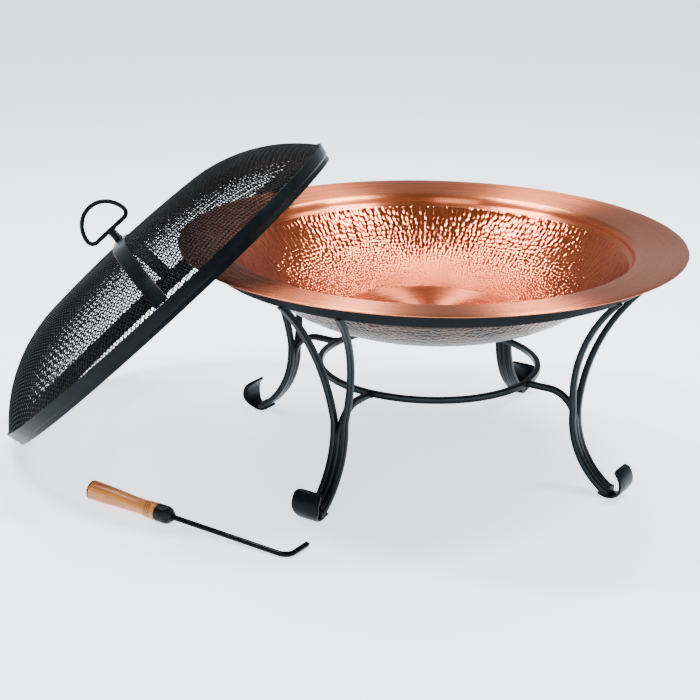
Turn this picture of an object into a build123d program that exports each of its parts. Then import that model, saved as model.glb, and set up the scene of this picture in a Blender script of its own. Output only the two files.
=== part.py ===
from build123d import *
import os
from math import asin, atan, atan2, cos, degrees, hypot, radians, sin, sqrt, tan

# A fire pit set of four things that lift apart: a black iron stand, a hammered copper bowl that sits
# in the stand's seat ring, a domed mesh spark screen that leans on the bowl's brim, and a poker that
# lies on the ground.
#
# Frame: millimetres, +Z up, ground at z = 0, origin under the middle of the whole set. The screen's
# low edge is at -X and it leans towards +X, onto the bowl. The poker lies at -Y.

# ---- driving dimensions ----

# Bowl: one spun copper sheet. Its brim falls gently inwards, rolls over, steps and becomes the wall.
bowl_r = 381.0
rim_height = 342.0
bowl_sheet = 1.5
brim_width = 69.0
brim_fall = 4.8           # degrees below level, going inwards
roll_r = 12.0
roll_end = 80.0           # degrees below level where the roll stops
ledge_bend_r = 8.0
ledge_fall = 40.0
ledge_width = 4.5
wall_fall = 54.0          # slope at the top of the wall
wall_r = 235.0
floor_r = 142.0

# Stand: a flat seat ring, a square lower ring, and four legs of three square bars each.
seat_inset = 47.0         # the brim reaches this far out past the seat ring
seat_thick = 4.0
seat_height = 25.0
seat_gap = 0.3
lower_r = 172.0
lower_bar = 9.0
lower_top = 150.0
bar = 9.0
leg_count = 4
first_leg = -24.6         # azimuth of the front right leg, in degrees
waist_out = 251.0         # the legs are narrowest here, measured from the stand's axis
waist_height = 115.0
leg_inset = 6.0           # a leg's top is this far inside the seat ring's outer face
fork_height = 127.0       # the outer bars spread apart above this
fork_spread = 47.0        # from the leg's middle to each outer bar's middle, at the seat ring
fork_bend_r = 40.0
bracket_leave = 5.0      # lean of the middle bar where it leaves the other two, in degrees

# Foot: a plate that is curled up like a leaf, under the bars' ends.
foot_out = 314.0
leaf_r = 26.0
leaf_thick = 4.0
leaf_width = 45.0
leaf_neck = 26.0
leaf_end = 60.0           # how far above level the curl ends, in degrees
leaf_corner_r = 9.0
bar_tip = 5.0             # the bars' ends pass the lowest point by this, in degrees

# Screen: a hemmed hoop, a woven dome held in it by a clamp ring, a strap, and a lifting handle.
screen_lean = 43.5
hoop_r = 325.0
flange_width = 8.8        # the hoop's foot is turned in by this
flange_thick = 2.0
hem_height = 7.5
hoop_step = 2.0
hoop_height = 26.0
hoop_flare = 5.5          # the strip's top edge stands out from the hoop by this
hoop_sheet = 2.0
mesh_thick = 0.8
mesh_edge = 24.0          # height in the hoop where the dome starts
dome_edge_fall = 50.5     # slope of the dome at its edge, below level
dome_shoulder_r = 260.0
dome_crown_fall = 4.0     # slope where the shoulder meets the flatter crown
clamp_low = 12.0
clamp_high = 22.0
clamp_thick = 1.5
rest_gap = 0.4            # between the hoop's foot and the bowl's rim
strap_width = 23.0
strap_lift = 0.6          # its ends stop this far above the dome's edge
strap_turn = 19.0         # about the crown, from straight across the slope
strap_thick = 3.0
stem_r = 6.5
stem_length = 17.0
stud_r = 3.0
stud_length = 9.0
stud_gap = 0.2
washer_r = 12.0
washer_thick = 1.5
nut_size = 10.0
nut_height = 5.0
loop_rod_r = 3.5
loop_width = 82.0
loop_rise = 47.0
loop_corner_r = 10.0

# Poker: a turned handle, a stepped ferrule and a round rod with a hook that lies flat.
poker_bend = (-145.0, -418.0)      # from the stand's axis
poker_azimuth = 156.3              # from the bend towards the handle
hook_azimuth = 65.6
hook_length = 48.0
hook_bend_r = 15.0
rod_r = 4.0
rod_length = 194.0
tip_chamfer = 1.5
ferrule_r = 13.0
ferrule_length = 27.0
ferrule_nose_r = 7.0
ferrule_nose = 4.0
ferrule_round = 9.0
tang_length = 50.0
grip_length = 117.0
grip_neck_r = 11.3
grip_butt_r = 14.3
grip_neck = 0.27          # share of the grip's length from the ferrule to its neck
groove_first = 9.0
groove_pitch = 4.0
groove_count = 3
groove_r = 1.1
cap_thick = 3.0
cap_round = 1.2

# ---- places worked out from them ----


def drop_over(width, slope_angle):
    """Drop over a width at a slope in degrees."""
    return width * tan(radians(slope_angle))


def polar(centre, radius, angle):
    """Point on a circle in a sketch, with the angle in degrees."""
    return (centre[0] + radius * cos(radians(angle)), centre[1] + radius * sin(radians(angle)))


# The seat ring's top stays just under the brim at the ring's inner edge, where the brim is lowest.
seat_r = bowl_r - seat_inset
brim_under = rim_height - drop_over(bowl_r - (seat_r - seat_thick), brim_fall)
seat_top = brim_under - bowl_sheet / cos(radians(brim_fall)) - seat_gap
seat_bottom = seat_top - seat_height
lower_middle = lower_top - lower_bar / 2

# The screen stands on its hoop's low edge, and its foot's inner edge leans on the rim at two points.
lean = radians(screen_lean)
hoop_top_r = hoop_r + hoop_flare
hoop_centre_z = hoop_r * sin(lean)
rim_along = (rim_height - hoop_centre_z) / sin(lean)
rim_across = sqrt((hoop_r - flange_width - rest_gap) ** 2 - rim_along**2)
rim_touch_x = -sqrt(bowl_r**2 - rim_across**2)
screen_x = rim_touch_x - (rim_height - hoop_centre_z) / tan(lean)

# The origin is under the middle of the set: from the hoop's flared edge to the brim, and from the
# poker's bend to the brim.
set_left = screen_x - hoop_top_r * cos(lean) - hoop_height * sin(lean)
stand_x = -(set_left + bowl_r) / 2
stand_y = -(poker_bend[1] + bowl_r) / 2

stand_plane = Plane((stand_x, stand_y, 0))
stand_axis = Axis((stand_x, stand_y, 0), (0, 0, 1))
stand_section = Plane((stand_x, stand_y, 0), x_dir=(1, 0, 0), z_dir=(0, -1, 0))

os.makedirs("parts", exist_ok=True)

# ---- bowl ----

with BuildPart() as bowl:
    with BuildSketch(stand_section) as bowl_section:
        with BuildLine() as skin:
            brim_drop = drop_over(brim_width, brim_fall)
            brim = Line((bowl_r, rim_height), (bowl_r - brim_width, rim_height - brim_drop))
            roll = JernArc(brim @ 1, brim % 1, roll_r, roll_end - brim_fall)
            dip = JernArc(roll @ 1, roll % 1, ledge_bend_r, ledge_fall - roll_end)
            ledge_drop = drop_over(ledge_width, ledge_fall)
            ledge = Line(dip @ 1, dip @ 1 + Vector(-ledge_width, -ledge_drop))
            fall = radians(wall_fall)
            wall_centre = ledge @ 1 + Vector(-wall_r * sin(fall), wall_r * cos(fall))
            floor_fall = degrees(asin((floor_r - wall_centre.X) / wall_r))
            wall = JernArc(ledge @ 1, (-cos(fall), -sin(fall)), wall_r, floor_fall - wall_fall)
            Line(wall @ 1, (0, (wall @ 1).Y))
            offset(amount=bowl_sheet, side=Side.LEFT, closed=True)
        make_face()
    revolve(axis=stand_axis)
bowl.part.label = "bowl"
export_step(bowl.part, "parts/bowl.step")
floor_height = (wall @ 1).Y

# ---- stand rings ----

with BuildPart() as seat_ring:
    with BuildSketch(stand_plane.offset(seat_bottom)):
        Circle(seat_r)
        Circle(seat_r - seat_thick, mode=Mode.SUBTRACT)
    extrude(amount=seat_height)
seat_ring.part.label = "seat_ring"
export_step(seat_ring.part, "parts/seat_ring.step")

with BuildPart() as lower_ring:
    with BuildSketch(stand_plane.offset(lower_top - lower_bar)):
        Circle(lower_r)
        Circle(lower_r - lower_bar, mode=Mode.SUBTRACT)
    extrude(amount=lower_bar)
lower_ring.part.label = "lower_ring"
export_step(lower_ring.part, "parts/lower_ring.step")

# ---- legs ----

# In a leg's own section, x runs out from the stand's axis and y runs up. The bars follow a small
# circle in the foot's curl, then a large one up to the waist, and the two circles are tangent.
foot_centre = (foot_out, leaf_r)
curl_r = leaf_r - leaf_thick - bar / 2
shin_reach = foot_out - waist_out
shin_drop = waist_height - leaf_r
shin_r = (shin_reach**2 + shin_drop**2 - curl_r**2) / (2 * (shin_reach - curl_r))
shin_lean = degrees(atan2(shin_drop, shin_r - shin_reach))

# Above the waist an outer bar bends sideways, then curves out to the seat ring in a tilted plane.
splay = atan((fork_spread - bar) / (seat_bottom - fork_height))
bend_run = fork_bend_r * tan(splay / 2)
bend_start = fork_height - bend_run
bend_side = bar + fork_bend_r * (1 - cos(splay))
bend_top = bend_start + fork_bend_r * sin(splay)
thigh_rise = (seat_bottom - bend_top) / cos(splay)
thigh_out = seat_r - leg_inset - waist_out
thigh_r = (thigh_rise**2 + thigh_out**2) / (2 * thigh_out)
thigh_end = asin(thigh_rise / thigh_r) + bar / thigh_r


def leg_section(azimuth):
    """Upright plane through the stand's axis, with x outwards."""
    a = radians(azimuth)
    return Plane((stand_x, stand_y, 0), x_dir=(cos(a), sin(a), 0), z_dir=(sin(a), -cos(a), 0))


def thigh_point(side, angle):
    """Point on an outer bar's upper arc, an angle above the waist."""
    rise = thigh_r * sin(angle)
    out = waist_out + thigh_r * (1 - cos(angle))
    return (out, bend_top + rise * cos(splay), side * (bend_side + rise * sin(splay)))


def outer_bar(name, azimuth, side):
    """One of a leg's two outer bars, from the foot's curl to the seat ring's lower edge."""
    section = leg_section(azimuth)
    offset_z = side * bar
    with BuildPart() as piece:
        with BuildLine(section) as path:
            tip = polar(foot_centre, curl_r, bar_tip - 90)
            heading = (-cos(radians(bar_tip)), -sin(radians(bar_tip)))
            curl = JernArc((*tip, offset_z), heading, curl_r, shin_lean - 90 - bar_tip)
            shin_start = polar(foot_centre, curl_r, 180 + shin_lean)
            shin_heading = (-sin(radians(shin_lean)), cos(radians(shin_lean)))
            JernArc((*shin_start, offset_z), shin_heading, shin_r, -shin_lean)
            Line((waist_out, waist_height, offset_z), (waist_out, bend_start, offset_z))
            half = splay / 2
            half_side = bar + fork_bend_r * (1 - cos(half))
            half_point = (waist_out, bend_start + fork_bend_r * sin(half), side * half_side)
            bend_end = (waist_out, bend_top, side * bend_side)
            ThreePointArc((waist_out, bend_start, offset_z), half_point, bend_end)
            ThreePointArc(bend_end, thigh_point(side, thigh_end / 2), thigh_point(side, thigh_end))
        with BuildSketch(Plane(curl @ 0, x_dir=section.z_dir, z_dir=curl % 0)):
            Rectangle(bar, bar)
        sweep()
        split(bisect_by=Plane.XY.offset(seat_bottom), keep=Keep.BOTTOM)
    piece.part.label = name
    export_step(piece.part, f"parts/{name}.step")


def middle_bar(name, azimuth):
    """A leg's middle bar, which leaves the other two and turns in to the lower ring."""
    section = leg_section(azimuth)
    leave = radians(bracket_leave)
    with BuildPart() as piece:
        with BuildLine(section) as path:
            tip = polar(foot_centre, curl_r, bar_tip - 90)
            heading = (-cos(radians(bar_tip)), -sin(radians(bar_tip)))
            curl = JernArc(tip, heading, curl_r, shin_lean - 90 - bar_tip)
            shin_start = polar(foot_centre, curl_r, 180 + shin_lean)
            shin_heading = (-sin(radians(shin_lean)), cos(radians(shin_lean)))
            JernArc(shin_start, shin_heading, shin_r, bracket_leave - shin_lean)
            leave_point = (waist_out + shin_r * (1 - cos(leave)), waist_height - shin_r * sin(leave))
            turn_r = (lower_middle - leave_point[1]) / (1 - sin(leave))
            JernArc(leave_point, (-sin(leave), cos(leave)), turn_r, 90 - bracket_leave)
            turn_end = (leave_point[0] - turn_r * cos(leave), lower_middle)
            Line(turn_end, (lower_r - lower_bar / 2, lower_middle))
        with BuildSketch(Plane(curl @ 0, x_dir=section.z_dir, z_dir=curl % 0)):
            Rectangle(bar, bar)
        sweep()
        with BuildSketch(stand_plane.offset(lower_middle - lower_bar)):
            Circle(lower_r)
        extrude(amount=2 * lower_bar, mode=Mode.SUBTRACT)
    piece.part.label = name
    export_step(piece.part, f"parts/{name}.step")


def foot_leaf(name, azimuth):
    """The curled plate under a leg, which widens from the bars to a rounded leaf."""
    section = leg_section(azimuth)
    with BuildPart() as piece:
        with BuildSketch(section):
            with BuildLine():
                sweep_angle = 180 + leaf_end - shin_lean
                under = CenterArc(foot_centre, leaf_r, 180 + shin_lean, sweep_angle)
                upper = CenterArc(foot_centre, leaf_r - leaf_thick, 180 + shin_lean, sweep_angle)
                Line(under @ 0, upper @ 0)
                Line(under @ 1, upper @ 1)
            make_face()
        extrude(amount=leaf_width / 2, both=True)
        leaf_top = polar(foot_centre, leaf_r, leaf_end)[1]
        with BuildSketch(Plane(section.origin, x_dir=-section.z_dir, z_dir=section.x_dir)) as outline:
            with BuildLine():
                right = Spline(
                    (leaf_neck / 2, leaf_thick),
                    (leaf_width / 2, leaf_r),
                    tangents=((0, 1), (0, 1)),
                )
                left = Spline(
                    (-leaf_neck / 2, leaf_thick),
                    (-leaf_width / 2, leaf_r),
                    tangents=((0, 1), (0, 1)),
                )
                Polyline(right @ 1, (leaf_width / 2, leaf_top), (-leaf_width / 2, leaf_top), left @ 1)
                Polyline(right @ 0, (leaf_neck / 2, -leaf_thick), (-leaf_neck / 2, -leaf_thick), left @ 0)
            make_face()
            fillet(outline.vertices().group_by(Axis.Y)[-1], leaf_corner_r)
        extrude(amount=foot_out + 2 * leaf_r, mode=Mode.INTERSECT)
    piece.part.label = name
    export_step(piece.part, f"parts/{name}.step")


leg_names = ["front_right", "back_right", "back_left", "front_left"]
for index, place in enumerate(leg_names):
    azimuth = first_leg + index * 360 / leg_count
    outer_bar(f"leg_{place}_left_bar", azimuth, -1)
    outer_bar(f"leg_{place}_right_bar", azimuth, 1)
    middle_bar(f"leg_{place}_middle_bar", azimuth)
    foot_leaf(f"leg_{place}_foot_leaf", azimuth)

# ---- spark screen ----

# The screen's own frame has its origin at the middle of the hoop's lower edge, x up the slope
# and z out through the dome's crown.
slope = (cos(lean), 0, sin(lean))
crown = (-sin(lean), 0, cos(lean))
screen_origin = (stand_x + screen_x, stand_y, hoop_centre_z)
screen_axis = Axis(screen_origin, crown)
screen_section = Plane(screen_origin, x_dir=slope, z_dir=(0, -1, 0))
crown_plane = Plane(screen_origin, x_dir=slope, z_dir=crown)

flare_low = (hoop_r + hoop_step, hem_height + hoop_step)
flare = atan((hoop_top_r - flare_low[0]) / (hoop_height - flare_low[1]))


def flare_r(height, depth):
    """Radius at a height in the hoop, a depth inside the flared strip's outer face."""
    return flare_low[0] + (height - flare_low[1]) * tan(flare) - depth / cos(flare)


with BuildPart() as screen_hoop:
    with BuildSketch(screen_section):
        with BuildLine():
            Polyline(
                (hoop_r - flange_width, 0),
                (hoop_r, 0),
                (hoop_r, hem_height),
                flare_low,
                (hoop_top_r, hoop_height),
                (flare_r(hoop_height, hoop_sheet), hoop_height),
                (flare_r(flare_low[1], hoop_sheet), flare_low[1]),
                (hoop_r - hoop_sheet, hem_height),
                (hoop_r - hoop_sheet, flange_thick),
                (hoop_r - flange_width, flange_thick),
                close=True,
            )
        make_face()
    revolve(axis=screen_axis)
screen_hoop.part.label = "screen_hoop"
export_step(screen_hoop.part, "parts/screen_hoop.step")

# The woven dome is a thin closed shell: a skirt behind the flared strip, then a round shoulder, then
# a flatter crown. Shoulder and crown are arcs that meet tangent, and the strap follows both.
dome_edge_r = flare_r(mesh_edge, hoop_sheet)
edge_fall = radians(dome_edge_fall)
crown_fall = radians(dome_crown_fall)
shoulder_out = dome_edge_r - dome_shoulder_r * sin(edge_fall)
shoulder_up = mesh_edge - dome_shoulder_r * cos(edge_fall)
crown_r = (shoulder_out + dome_shoulder_r * sin(crown_fall)) / sin(crown_fall)
crown_up = shoulder_up - (crown_r - dome_shoulder_r) * cos(crown_fall)
skirt_inner = hoop_sheet + mesh_thick
stud_hole_r = stud_r + stud_gap


def dome_height(raised):
    """Height of the crown in the hoop, for a surface raised off the dome's outer face."""
    return crown_up + crown_r + raised


def dome_edge(raised):
    """Where a surface raised off the dome's outer face reaches the height of the dome's edge."""
    arc_r = dome_shoulder_r + raised
    return (shoulder_out + sqrt(arc_r**2 - (mesh_edge - shoulder_up) ** 2), mesh_edge)


def dome_curve(raised):
    """Half of the dome's profile, from the edge to the crown, raised off its outer face."""
    arc_r = dome_shoulder_r + raised
    low = dome_edge(raised)
    low_angle = degrees(atan2(low[1] - shoulder_up, low[0] - shoulder_out))
    join_angle = 90 - dome_crown_fall
    centre = (shoulder_out, shoulder_up)
    shoulder_mid = polar(centre, arc_r, (low_angle + join_angle) / 2)
    shoulder_curve = ThreePointArc(low, shoulder_mid, polar(centre, arc_r, join_angle))
    crown_mid = polar((0, crown_up), crown_r + raised, 90 - dome_crown_fall / 2)
    crown_curve = ThreePointArc(shoulder_curve @ 1, crown_mid, (0, dome_height(raised)))
    return shoulder_curve, crown_curve


with BuildPart() as screen_mesh:
    with BuildSketch(screen_section):
        with BuildLine():
            skirt = Line((flare_r(clamp_low, hoop_sheet), clamp_low), (dome_edge_r, mesh_edge))
            dome_curve(0)
            Line((0, dome_height(0)), (0, dome_height(-mesh_thick)))
            dome_curve(-mesh_thick)
            Polyline(
                dome_edge(-mesh_thick),
                (flare_r(mesh_edge, skirt_inner), mesh_edge),
                (flare_r(clamp_low, skirt_inner), clamp_low),
                skirt @ 0,
            )
        make_face()
    revolve(axis=screen_axis)
    with BuildSketch(crown_plane.offset(mesh_edge)):
        Circle(stud_hole_r)
    extrude(amount=dome_height(0), mode=Mode.SUBTRACT)
screen_mesh.part.label = "screen_mesh"
export_step(screen_mesh.part, "parts/screen_mesh.step")

with BuildPart() as mesh_clamp_ring:
    with BuildSketch(screen_section):
        with BuildLine():
            Polyline(
                (flare_r(clamp_low, skirt_inner), clamp_low),
                (flare_r(clamp_high, skirt_inner), clamp_high),
                (flare_r(clamp_high, skirt_inner + clamp_thick), clamp_high),
                (flare_r(clamp_low, skirt_inner + clamp_thick), clamp_low),
                close=True,
            )
        make_face()
    revolve(axis=screen_axis)
mesh_clamp_ring.part.label = "mesh_clamp_ring"
export_step(mesh_clamp_ring.part, "parts/mesh_clamp_ring.step")

# The strap crosses the crown from one side of the hoop to the other, and ends against the strip.
strap_way = Vector(0, 1, 0).rotate(screen_axis, strap_turn)
strap_section = Plane(screen_origin, x_dir=strap_way, z_dir=strap_way.cross(Vector(crown)))
with BuildPart() as screen_strap:
    with BuildSketch(strap_section):
        with BuildLine():
            dome_curve(0)
            dome_curve(strap_thick)
            Line(dome_edge(0), dome_edge(strap_thick))
            Line((0, dome_height(0)), (0, dome_height(strap_thick)))
        make_face()
        mirror(about=Plane.YZ)
    extrude(amount=strap_width / 2, both=True)
    split(bisect_by=crown_plane.offset(mesh_edge + strap_lift), keep=Keep.TOP)
    with BuildSketch(screen_section):
        with BuildLine():
            beyond = 2 * hoop_height
            Polyline(
                (flare_r(0, hoop_sheet), 0),
                (flare_r(beyond, hoop_sheet), beyond),
                (hoop_top_r + beyond, beyond),
                (hoop_top_r + beyond, 0),
                close=True,
            )
        make_face()
    revolve(axis=screen_axis, mode=Mode.SUBTRACT)
    with BuildSketch(crown_plane.offset(mesh_edge)):
        Circle(stud_hole_r)
    extrude(amount=dome_height(strap_thick), mode=Mode.SUBTRACT)
screen_strap.part.label = "screen_strap"
export_step(screen_strap.part, "parts/screen_strap.step")

# The stem stands on the strap. Its stud goes through strap and mesh, and a nut holds it inside.
crown_top = dome_height(strap_thick)
loop_height = crown_top + stem_length + loop_rod_r
inside_r = crown_r - mesh_thick
washer_sag = inside_r - sqrt(inside_r**2 - washer_r**2)
washer_top = dome_height(-mesh_thick) - washer_sag
washer_low = washer_top - washer_thick

with BuildPart() as handle_stem:
    with BuildSketch(crown_plane.offset(crown_top)):
        Circle(stem_r)
    extrude(amount=loop_height - crown_top)
    with BuildSketch(crown_plane.offset(crown_top)):
        Circle(stud_r)
    extrude(amount=-(crown_top - washer_low + stud_length))
    with BuildSketch(Plane(screen_section.from_local_coords((0, loop_height)), z_dir=slope)):
        Circle(loop_rod_r)
    extrude(amount=2 * stem_r, both=True, mode=Mode.SUBTRACT)
handle_stem.part.label = "handle_stem"
export_step(handle_stem.part, "parts/handle_stem.step")

with BuildPart() as handle_loop:
    with BuildLine(screen_section) as loop_path:
        arch_left = (-loop_width / 2, loop_height)
        arch_right = (loop_width / 2, loop_height)
        Line(arch_left, arch_right)
        ThreePointArc(arch_right, (0, loop_height + loop_rise), arch_left)
        fillet(loop_path.vertices(), loop_corner_r)
    with BuildSketch(Plane(loop_path.wire() @ 0, z_dir=loop_path.wire() % 0)):
        Circle(loop_rod_r)
    sweep(path=loop_path.wire())
handle_loop.part.label = "handle_loop"
export_step(handle_loop.part, "parts/handle_loop.step")

with BuildPart() as stem_washer:
    with BuildSketch(crown_plane.offset(washer_low)):
        Circle(washer_r)
        Circle(stud_hole_r, mode=Mode.SUBTRACT)
    extrude(amount=washer_thick)
stem_washer.part.label = "stem_washer"
export_step(stem_washer.part, "parts/stem_washer.step")

with BuildPart() as stem_nut:
    with BuildSketch(crown_plane.offset(washer_low - nut_height)):
        RegularPolygon(nut_size / 2, 6, major_radius=False)
        Circle(stud_r, mode=Mode.SUBTRACT)
    extrude(amount=nut_height)
stem_nut.part.label = "stem_nut"
export_step(stem_nut.part, "parts/stem_nut.step")

# ---- poker ----

# The poker lies on its hook and on its ferrule's front shoulder, so its axis rises to the handle.
shoulder = rod_length + ferrule_nose + ferrule_round
poker_rise = asin(-rod_r / hypot(shoulder, ferrule_r)) + atan2(ferrule_r, shoulder)
along = radians(poker_azimuth)
poker_way = Vector(cos(poker_rise) * cos(along), cos(poker_rise) * sin(along), sin(poker_rise))
poker_origin = Vector(stand_x + poker_bend[0], stand_y + poker_bend[1], rod_r)
poker_axis = Axis(poker_origin, poker_way)
poker_section = Plane(poker_origin, x_dir=poker_way, z_dir=(sin(along), -cos(along), 0))
hook_way = Vector(cos(radians(hook_azimuth)), sin(radians(hook_azimuth)), 0)
grip_start = rod_length + ferrule_length
grip_end = grip_start + grip_length

with BuildPart() as poker_rod:
    with BuildLine() as rod_path:
        tang_end = poker_origin + poker_way * (grip_start + tang_length)
        hook_tip = poker_origin + hook_way * hook_length
        FilletPolyline(tang_end, poker_origin, hook_tip, radius=hook_bend_r)
    with BuildSketch(Plane(tang_end, z_dir=-poker_way)):
        Circle(rod_r)
    sweep()
    chamfer(poker_rod.faces().sort_by_distance(hook_tip)[0].edges(), tip_chamfer)
poker_rod.part.label = "poker_rod"
export_step(poker_rod.part, "parts/poker_rod.step")

with BuildPart() as poker_ferrule:
    with BuildSketch(poker_section):
        with BuildLine():
            nose = Polyline(
                (rod_length, rod_r),
                (rod_length, ferrule_nose_r),
                (rod_length + ferrule_nose, ferrule_nose_r + 1),
            )
            shoulder_arc = EllipticalCenterArc(
                (shoulder, (nose @ 1).Y),
                ferrule_round,
                ferrule_r - (nose @ 1).Y,
                start_angle=90,
                arc_size=90,
            )
            Polyline((shoulder, ferrule_r), (grip_start, ferrule_r), (grip_start, rod_r), nose @ 0)
        make_face()
    revolve(axis=poker_axis)
poker_ferrule.part.label = "poker_ferrule"
export_step(poker_ferrule.part, "parts/poker_ferrule.step")

with BuildPart() as poker_handle:
    with BuildSketch(poker_section):
        with BuildLine():
            neck_x = grip_start + grip_neck * grip_length
            curve = Spline(
                (grip_start, ferrule_r),
                (neck_x, grip_neck_r),
                (grip_end, grip_butt_r),
                tangents=((1, 0), (1, 0)),
            )
            Polyline(
                curve @ 1,
                (grip_end, 0),
                (grip_start + tang_length, 0),
                (grip_start + tang_length, rod_r),
                (grip_start, rod_r),
                curve @ 0,
            )
        make_face()
    revolve(axis=poker_axis)
    with BuildSketch(poker_section):
        for number in range(groove_count):
            groove_x = grip_start + groove_first + number * groove_pitch
            groove_y = (curve @ ((groove_x - grip_start) / grip_length)).Y
            with Locations((groove_x, groove_y)):
                Circle(groove_r)
    revolve(axis=poker_axis, mode=Mode.SUBTRACT)
poker_handle.part.label = "poker_handle"
export_step(poker_handle.part, "parts/poker_handle.step")

with BuildPart() as poker_end_cap:
    with BuildSketch(Plane(poker_origin + poker_way * grip_end, z_dir=poker_way)):
        Circle(grip_butt_r)
    extrude(amount=cap_thick)
    fillet(poker_end_cap.edges().group_by(Axis(poker_origin, poker_way))[-1], cap_round)
poker_end_cap.part.label = "poker_end_cap"
export_step(poker_end_cap.part, "parts/poker_end_cap.step")
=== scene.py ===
# %% [markdown]
# # A copper fire bowl, its iron stand, a mesh spark screen and a poker
#
# The set is four things that lift apart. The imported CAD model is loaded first, and it is the frame:
# it says where every piece is and how big it is. Each piece is then made again as a finer surface in
# the same place, because real metal has rounded edges, hammer marks, woven wire and welds.

# %% Load the frame
from math import atan2, cos, degrees, pi, radians, sin, tan

import bpy
import numpy as np
from mathutils import Matrix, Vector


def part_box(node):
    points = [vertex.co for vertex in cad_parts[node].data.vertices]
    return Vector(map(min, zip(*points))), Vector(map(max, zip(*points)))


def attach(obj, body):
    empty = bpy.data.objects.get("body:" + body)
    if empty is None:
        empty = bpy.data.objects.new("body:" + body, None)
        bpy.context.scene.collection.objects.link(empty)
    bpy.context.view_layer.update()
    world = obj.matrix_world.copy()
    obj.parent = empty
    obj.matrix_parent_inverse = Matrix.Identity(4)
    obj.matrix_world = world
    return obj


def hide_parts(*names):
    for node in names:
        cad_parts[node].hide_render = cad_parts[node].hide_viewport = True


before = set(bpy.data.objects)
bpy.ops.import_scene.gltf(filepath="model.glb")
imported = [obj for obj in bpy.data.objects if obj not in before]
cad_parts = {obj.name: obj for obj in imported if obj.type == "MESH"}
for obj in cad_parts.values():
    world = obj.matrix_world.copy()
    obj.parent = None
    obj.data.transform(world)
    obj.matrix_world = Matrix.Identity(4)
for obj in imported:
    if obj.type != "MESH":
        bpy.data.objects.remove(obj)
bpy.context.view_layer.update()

# %% [markdown]
# ## Units and the two working frames
#
# Blender works in metres, but iron and copper are cut in millimetres, so every shape below is worked
# out in millimetres and turned to metres once, when its mesh is made. A stand or a bowl is easiest
# to think of around the stand's upright axis. The screen leans, so it gets a frame of its own, with
# its axis through the dome's crown. Both are read from the CAD boxes.

# %% Units and frames
METRE = 1000.0
UP = np.array((0.0, 0.0, 1.0))


def box_mm(node):
    """Lowest and highest corner of a CAD node, in millimetres."""
    low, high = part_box(node)
    return np.array(low) * METRE, np.array(high) * METRE


bowl_low, bowl_high = box_mm("bowl")
stand_x, stand_y = (bowl_low + bowl_high)[:2] / 2
rim_height = bowl_high[2]
stand_frame = (np.array((stand_x, stand_y, 0.0)), np.array((1.0, 0, 0)), np.array((0, 1.0, 0)), UP)

screen_lean = radians(43.5)
hoop_r = 325.0
hoop_low = box_mm("screen_hoop")[0]
slope = np.array((cos(screen_lean), 0, sin(screen_lean)))
crown = np.array((-sin(screen_lean), 0, cos(screen_lean)))
hoop_top_r, hoop_height = 330.5, 26.0
hoop_left = hoop_top_r * cos(screen_lean) + hoop_height * sin(screen_lean)
screen_origin = np.array((hoop_low[0] + hoop_left, stand_y, hoop_r * sin(screen_lean)))
screen_frame = (screen_origin, slope, np.array((0, 1.0, 0)), crown)


def placed(points, where):
    """Points in a frame (origin, x, y, z) turned to the object's own frame."""
    origin, x_way, y_way, z_way = where
    return origin + points[..., :1] * x_way + points[..., 1:2] * y_way + points[..., 2:] * z_way


print("stand axis at", round(stand_x, 1), round(stand_y, 1), "rim at", round(rim_height, 1))

# %% [markdown]
# ## Outlines
#
# A metal worker bends strip and bar: straight run, bend, straight run. So an outline here is a walk:
# a start, a heading, and moves that are a run or a bend. Cut stock has corners that are never quite
# sharp, so a second helper puts a small arc on each corner of a section.

# %% Outline helpers
def walk(start, heading, moves):
    """Points along a walk. A move is (length, 0, steps) for a run or (radius, turn, steps) for a bend:
    on a bend the point goes round a centre that is a radius off, to the side of the turn."""
    spot = np.array(start, float)
    angle = radians(heading)
    points = [spot[None]]
    for size, turn, steps in moves:
        share = np.linspace(0, 1, steps + 1)[1:, None]
        if turn == 0:
            leg = spot + share * size * np.array((cos(angle), sin(angle)))
        else:
            side = 1 if turn > 0 else -1
            centre = spot + size * side * np.array((-sin(angle), cos(angle)))
            swing = angle - side * pi / 2 + share[:, 0] * radians(turn)
            leg = centre + size * np.stack([np.cos(swing), np.sin(swing)], -1)
            angle += radians(turn)
        points.append(leg)
        spot = leg[-1]
    return np.concatenate(points)


def eased(corners, radius, steps=3):
    """A closed section with each corner replaced by a quadratic curve between two points that are a
    radius before and after it."""
    corners = np.array(corners, float)
    back = np.roll(corners, 1, 0) - corners
    ahead = np.roll(corners, -1, 0) - corners
    reach = np.minimum(radius, 0.45 * np.minimum(np.linalg.norm(back, axis=1), np.linalg.norm(ahead, axis=1)))
    first = corners + back / np.linalg.norm(back, axis=1)[:, None] * reach[:, None]
    last = corners + ahead / np.linalg.norm(ahead, axis=1)[:, None] * reach[:, None]
    t = np.linspace(0, 1, steps + 1)[None, :, None]
    curve = (1 - t) ** 2 * first[:, None] + 2 * t * (1 - t) * corners[:, None] + t**2 * last[:, None]
    return curve.reshape(-1, 2)


def bar_section(width, depth, corner):
    """Section of a bar: a box with eased corners, sixteen points round, starting on a corner."""
    half = np.array((width, depth)) / 2
    return eased([half * way for way in ((-1, -1), (1, -1), (1, 1), (-1, 1))], corner)


print("square bar section:", len(bar_section(9, 9, 1.5)), "points")

# %% [markdown]
# ## From a grid of points to a mesh
#
# Nearly every piece is a grid: rows of points along a path, columns round a section. One function
# joins the grid into faces, closes its ends, makes sure that the faces look outwards, and writes a
# UV map that counts millimetres or turns along and around, for the patterns that follow a surface.

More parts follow.
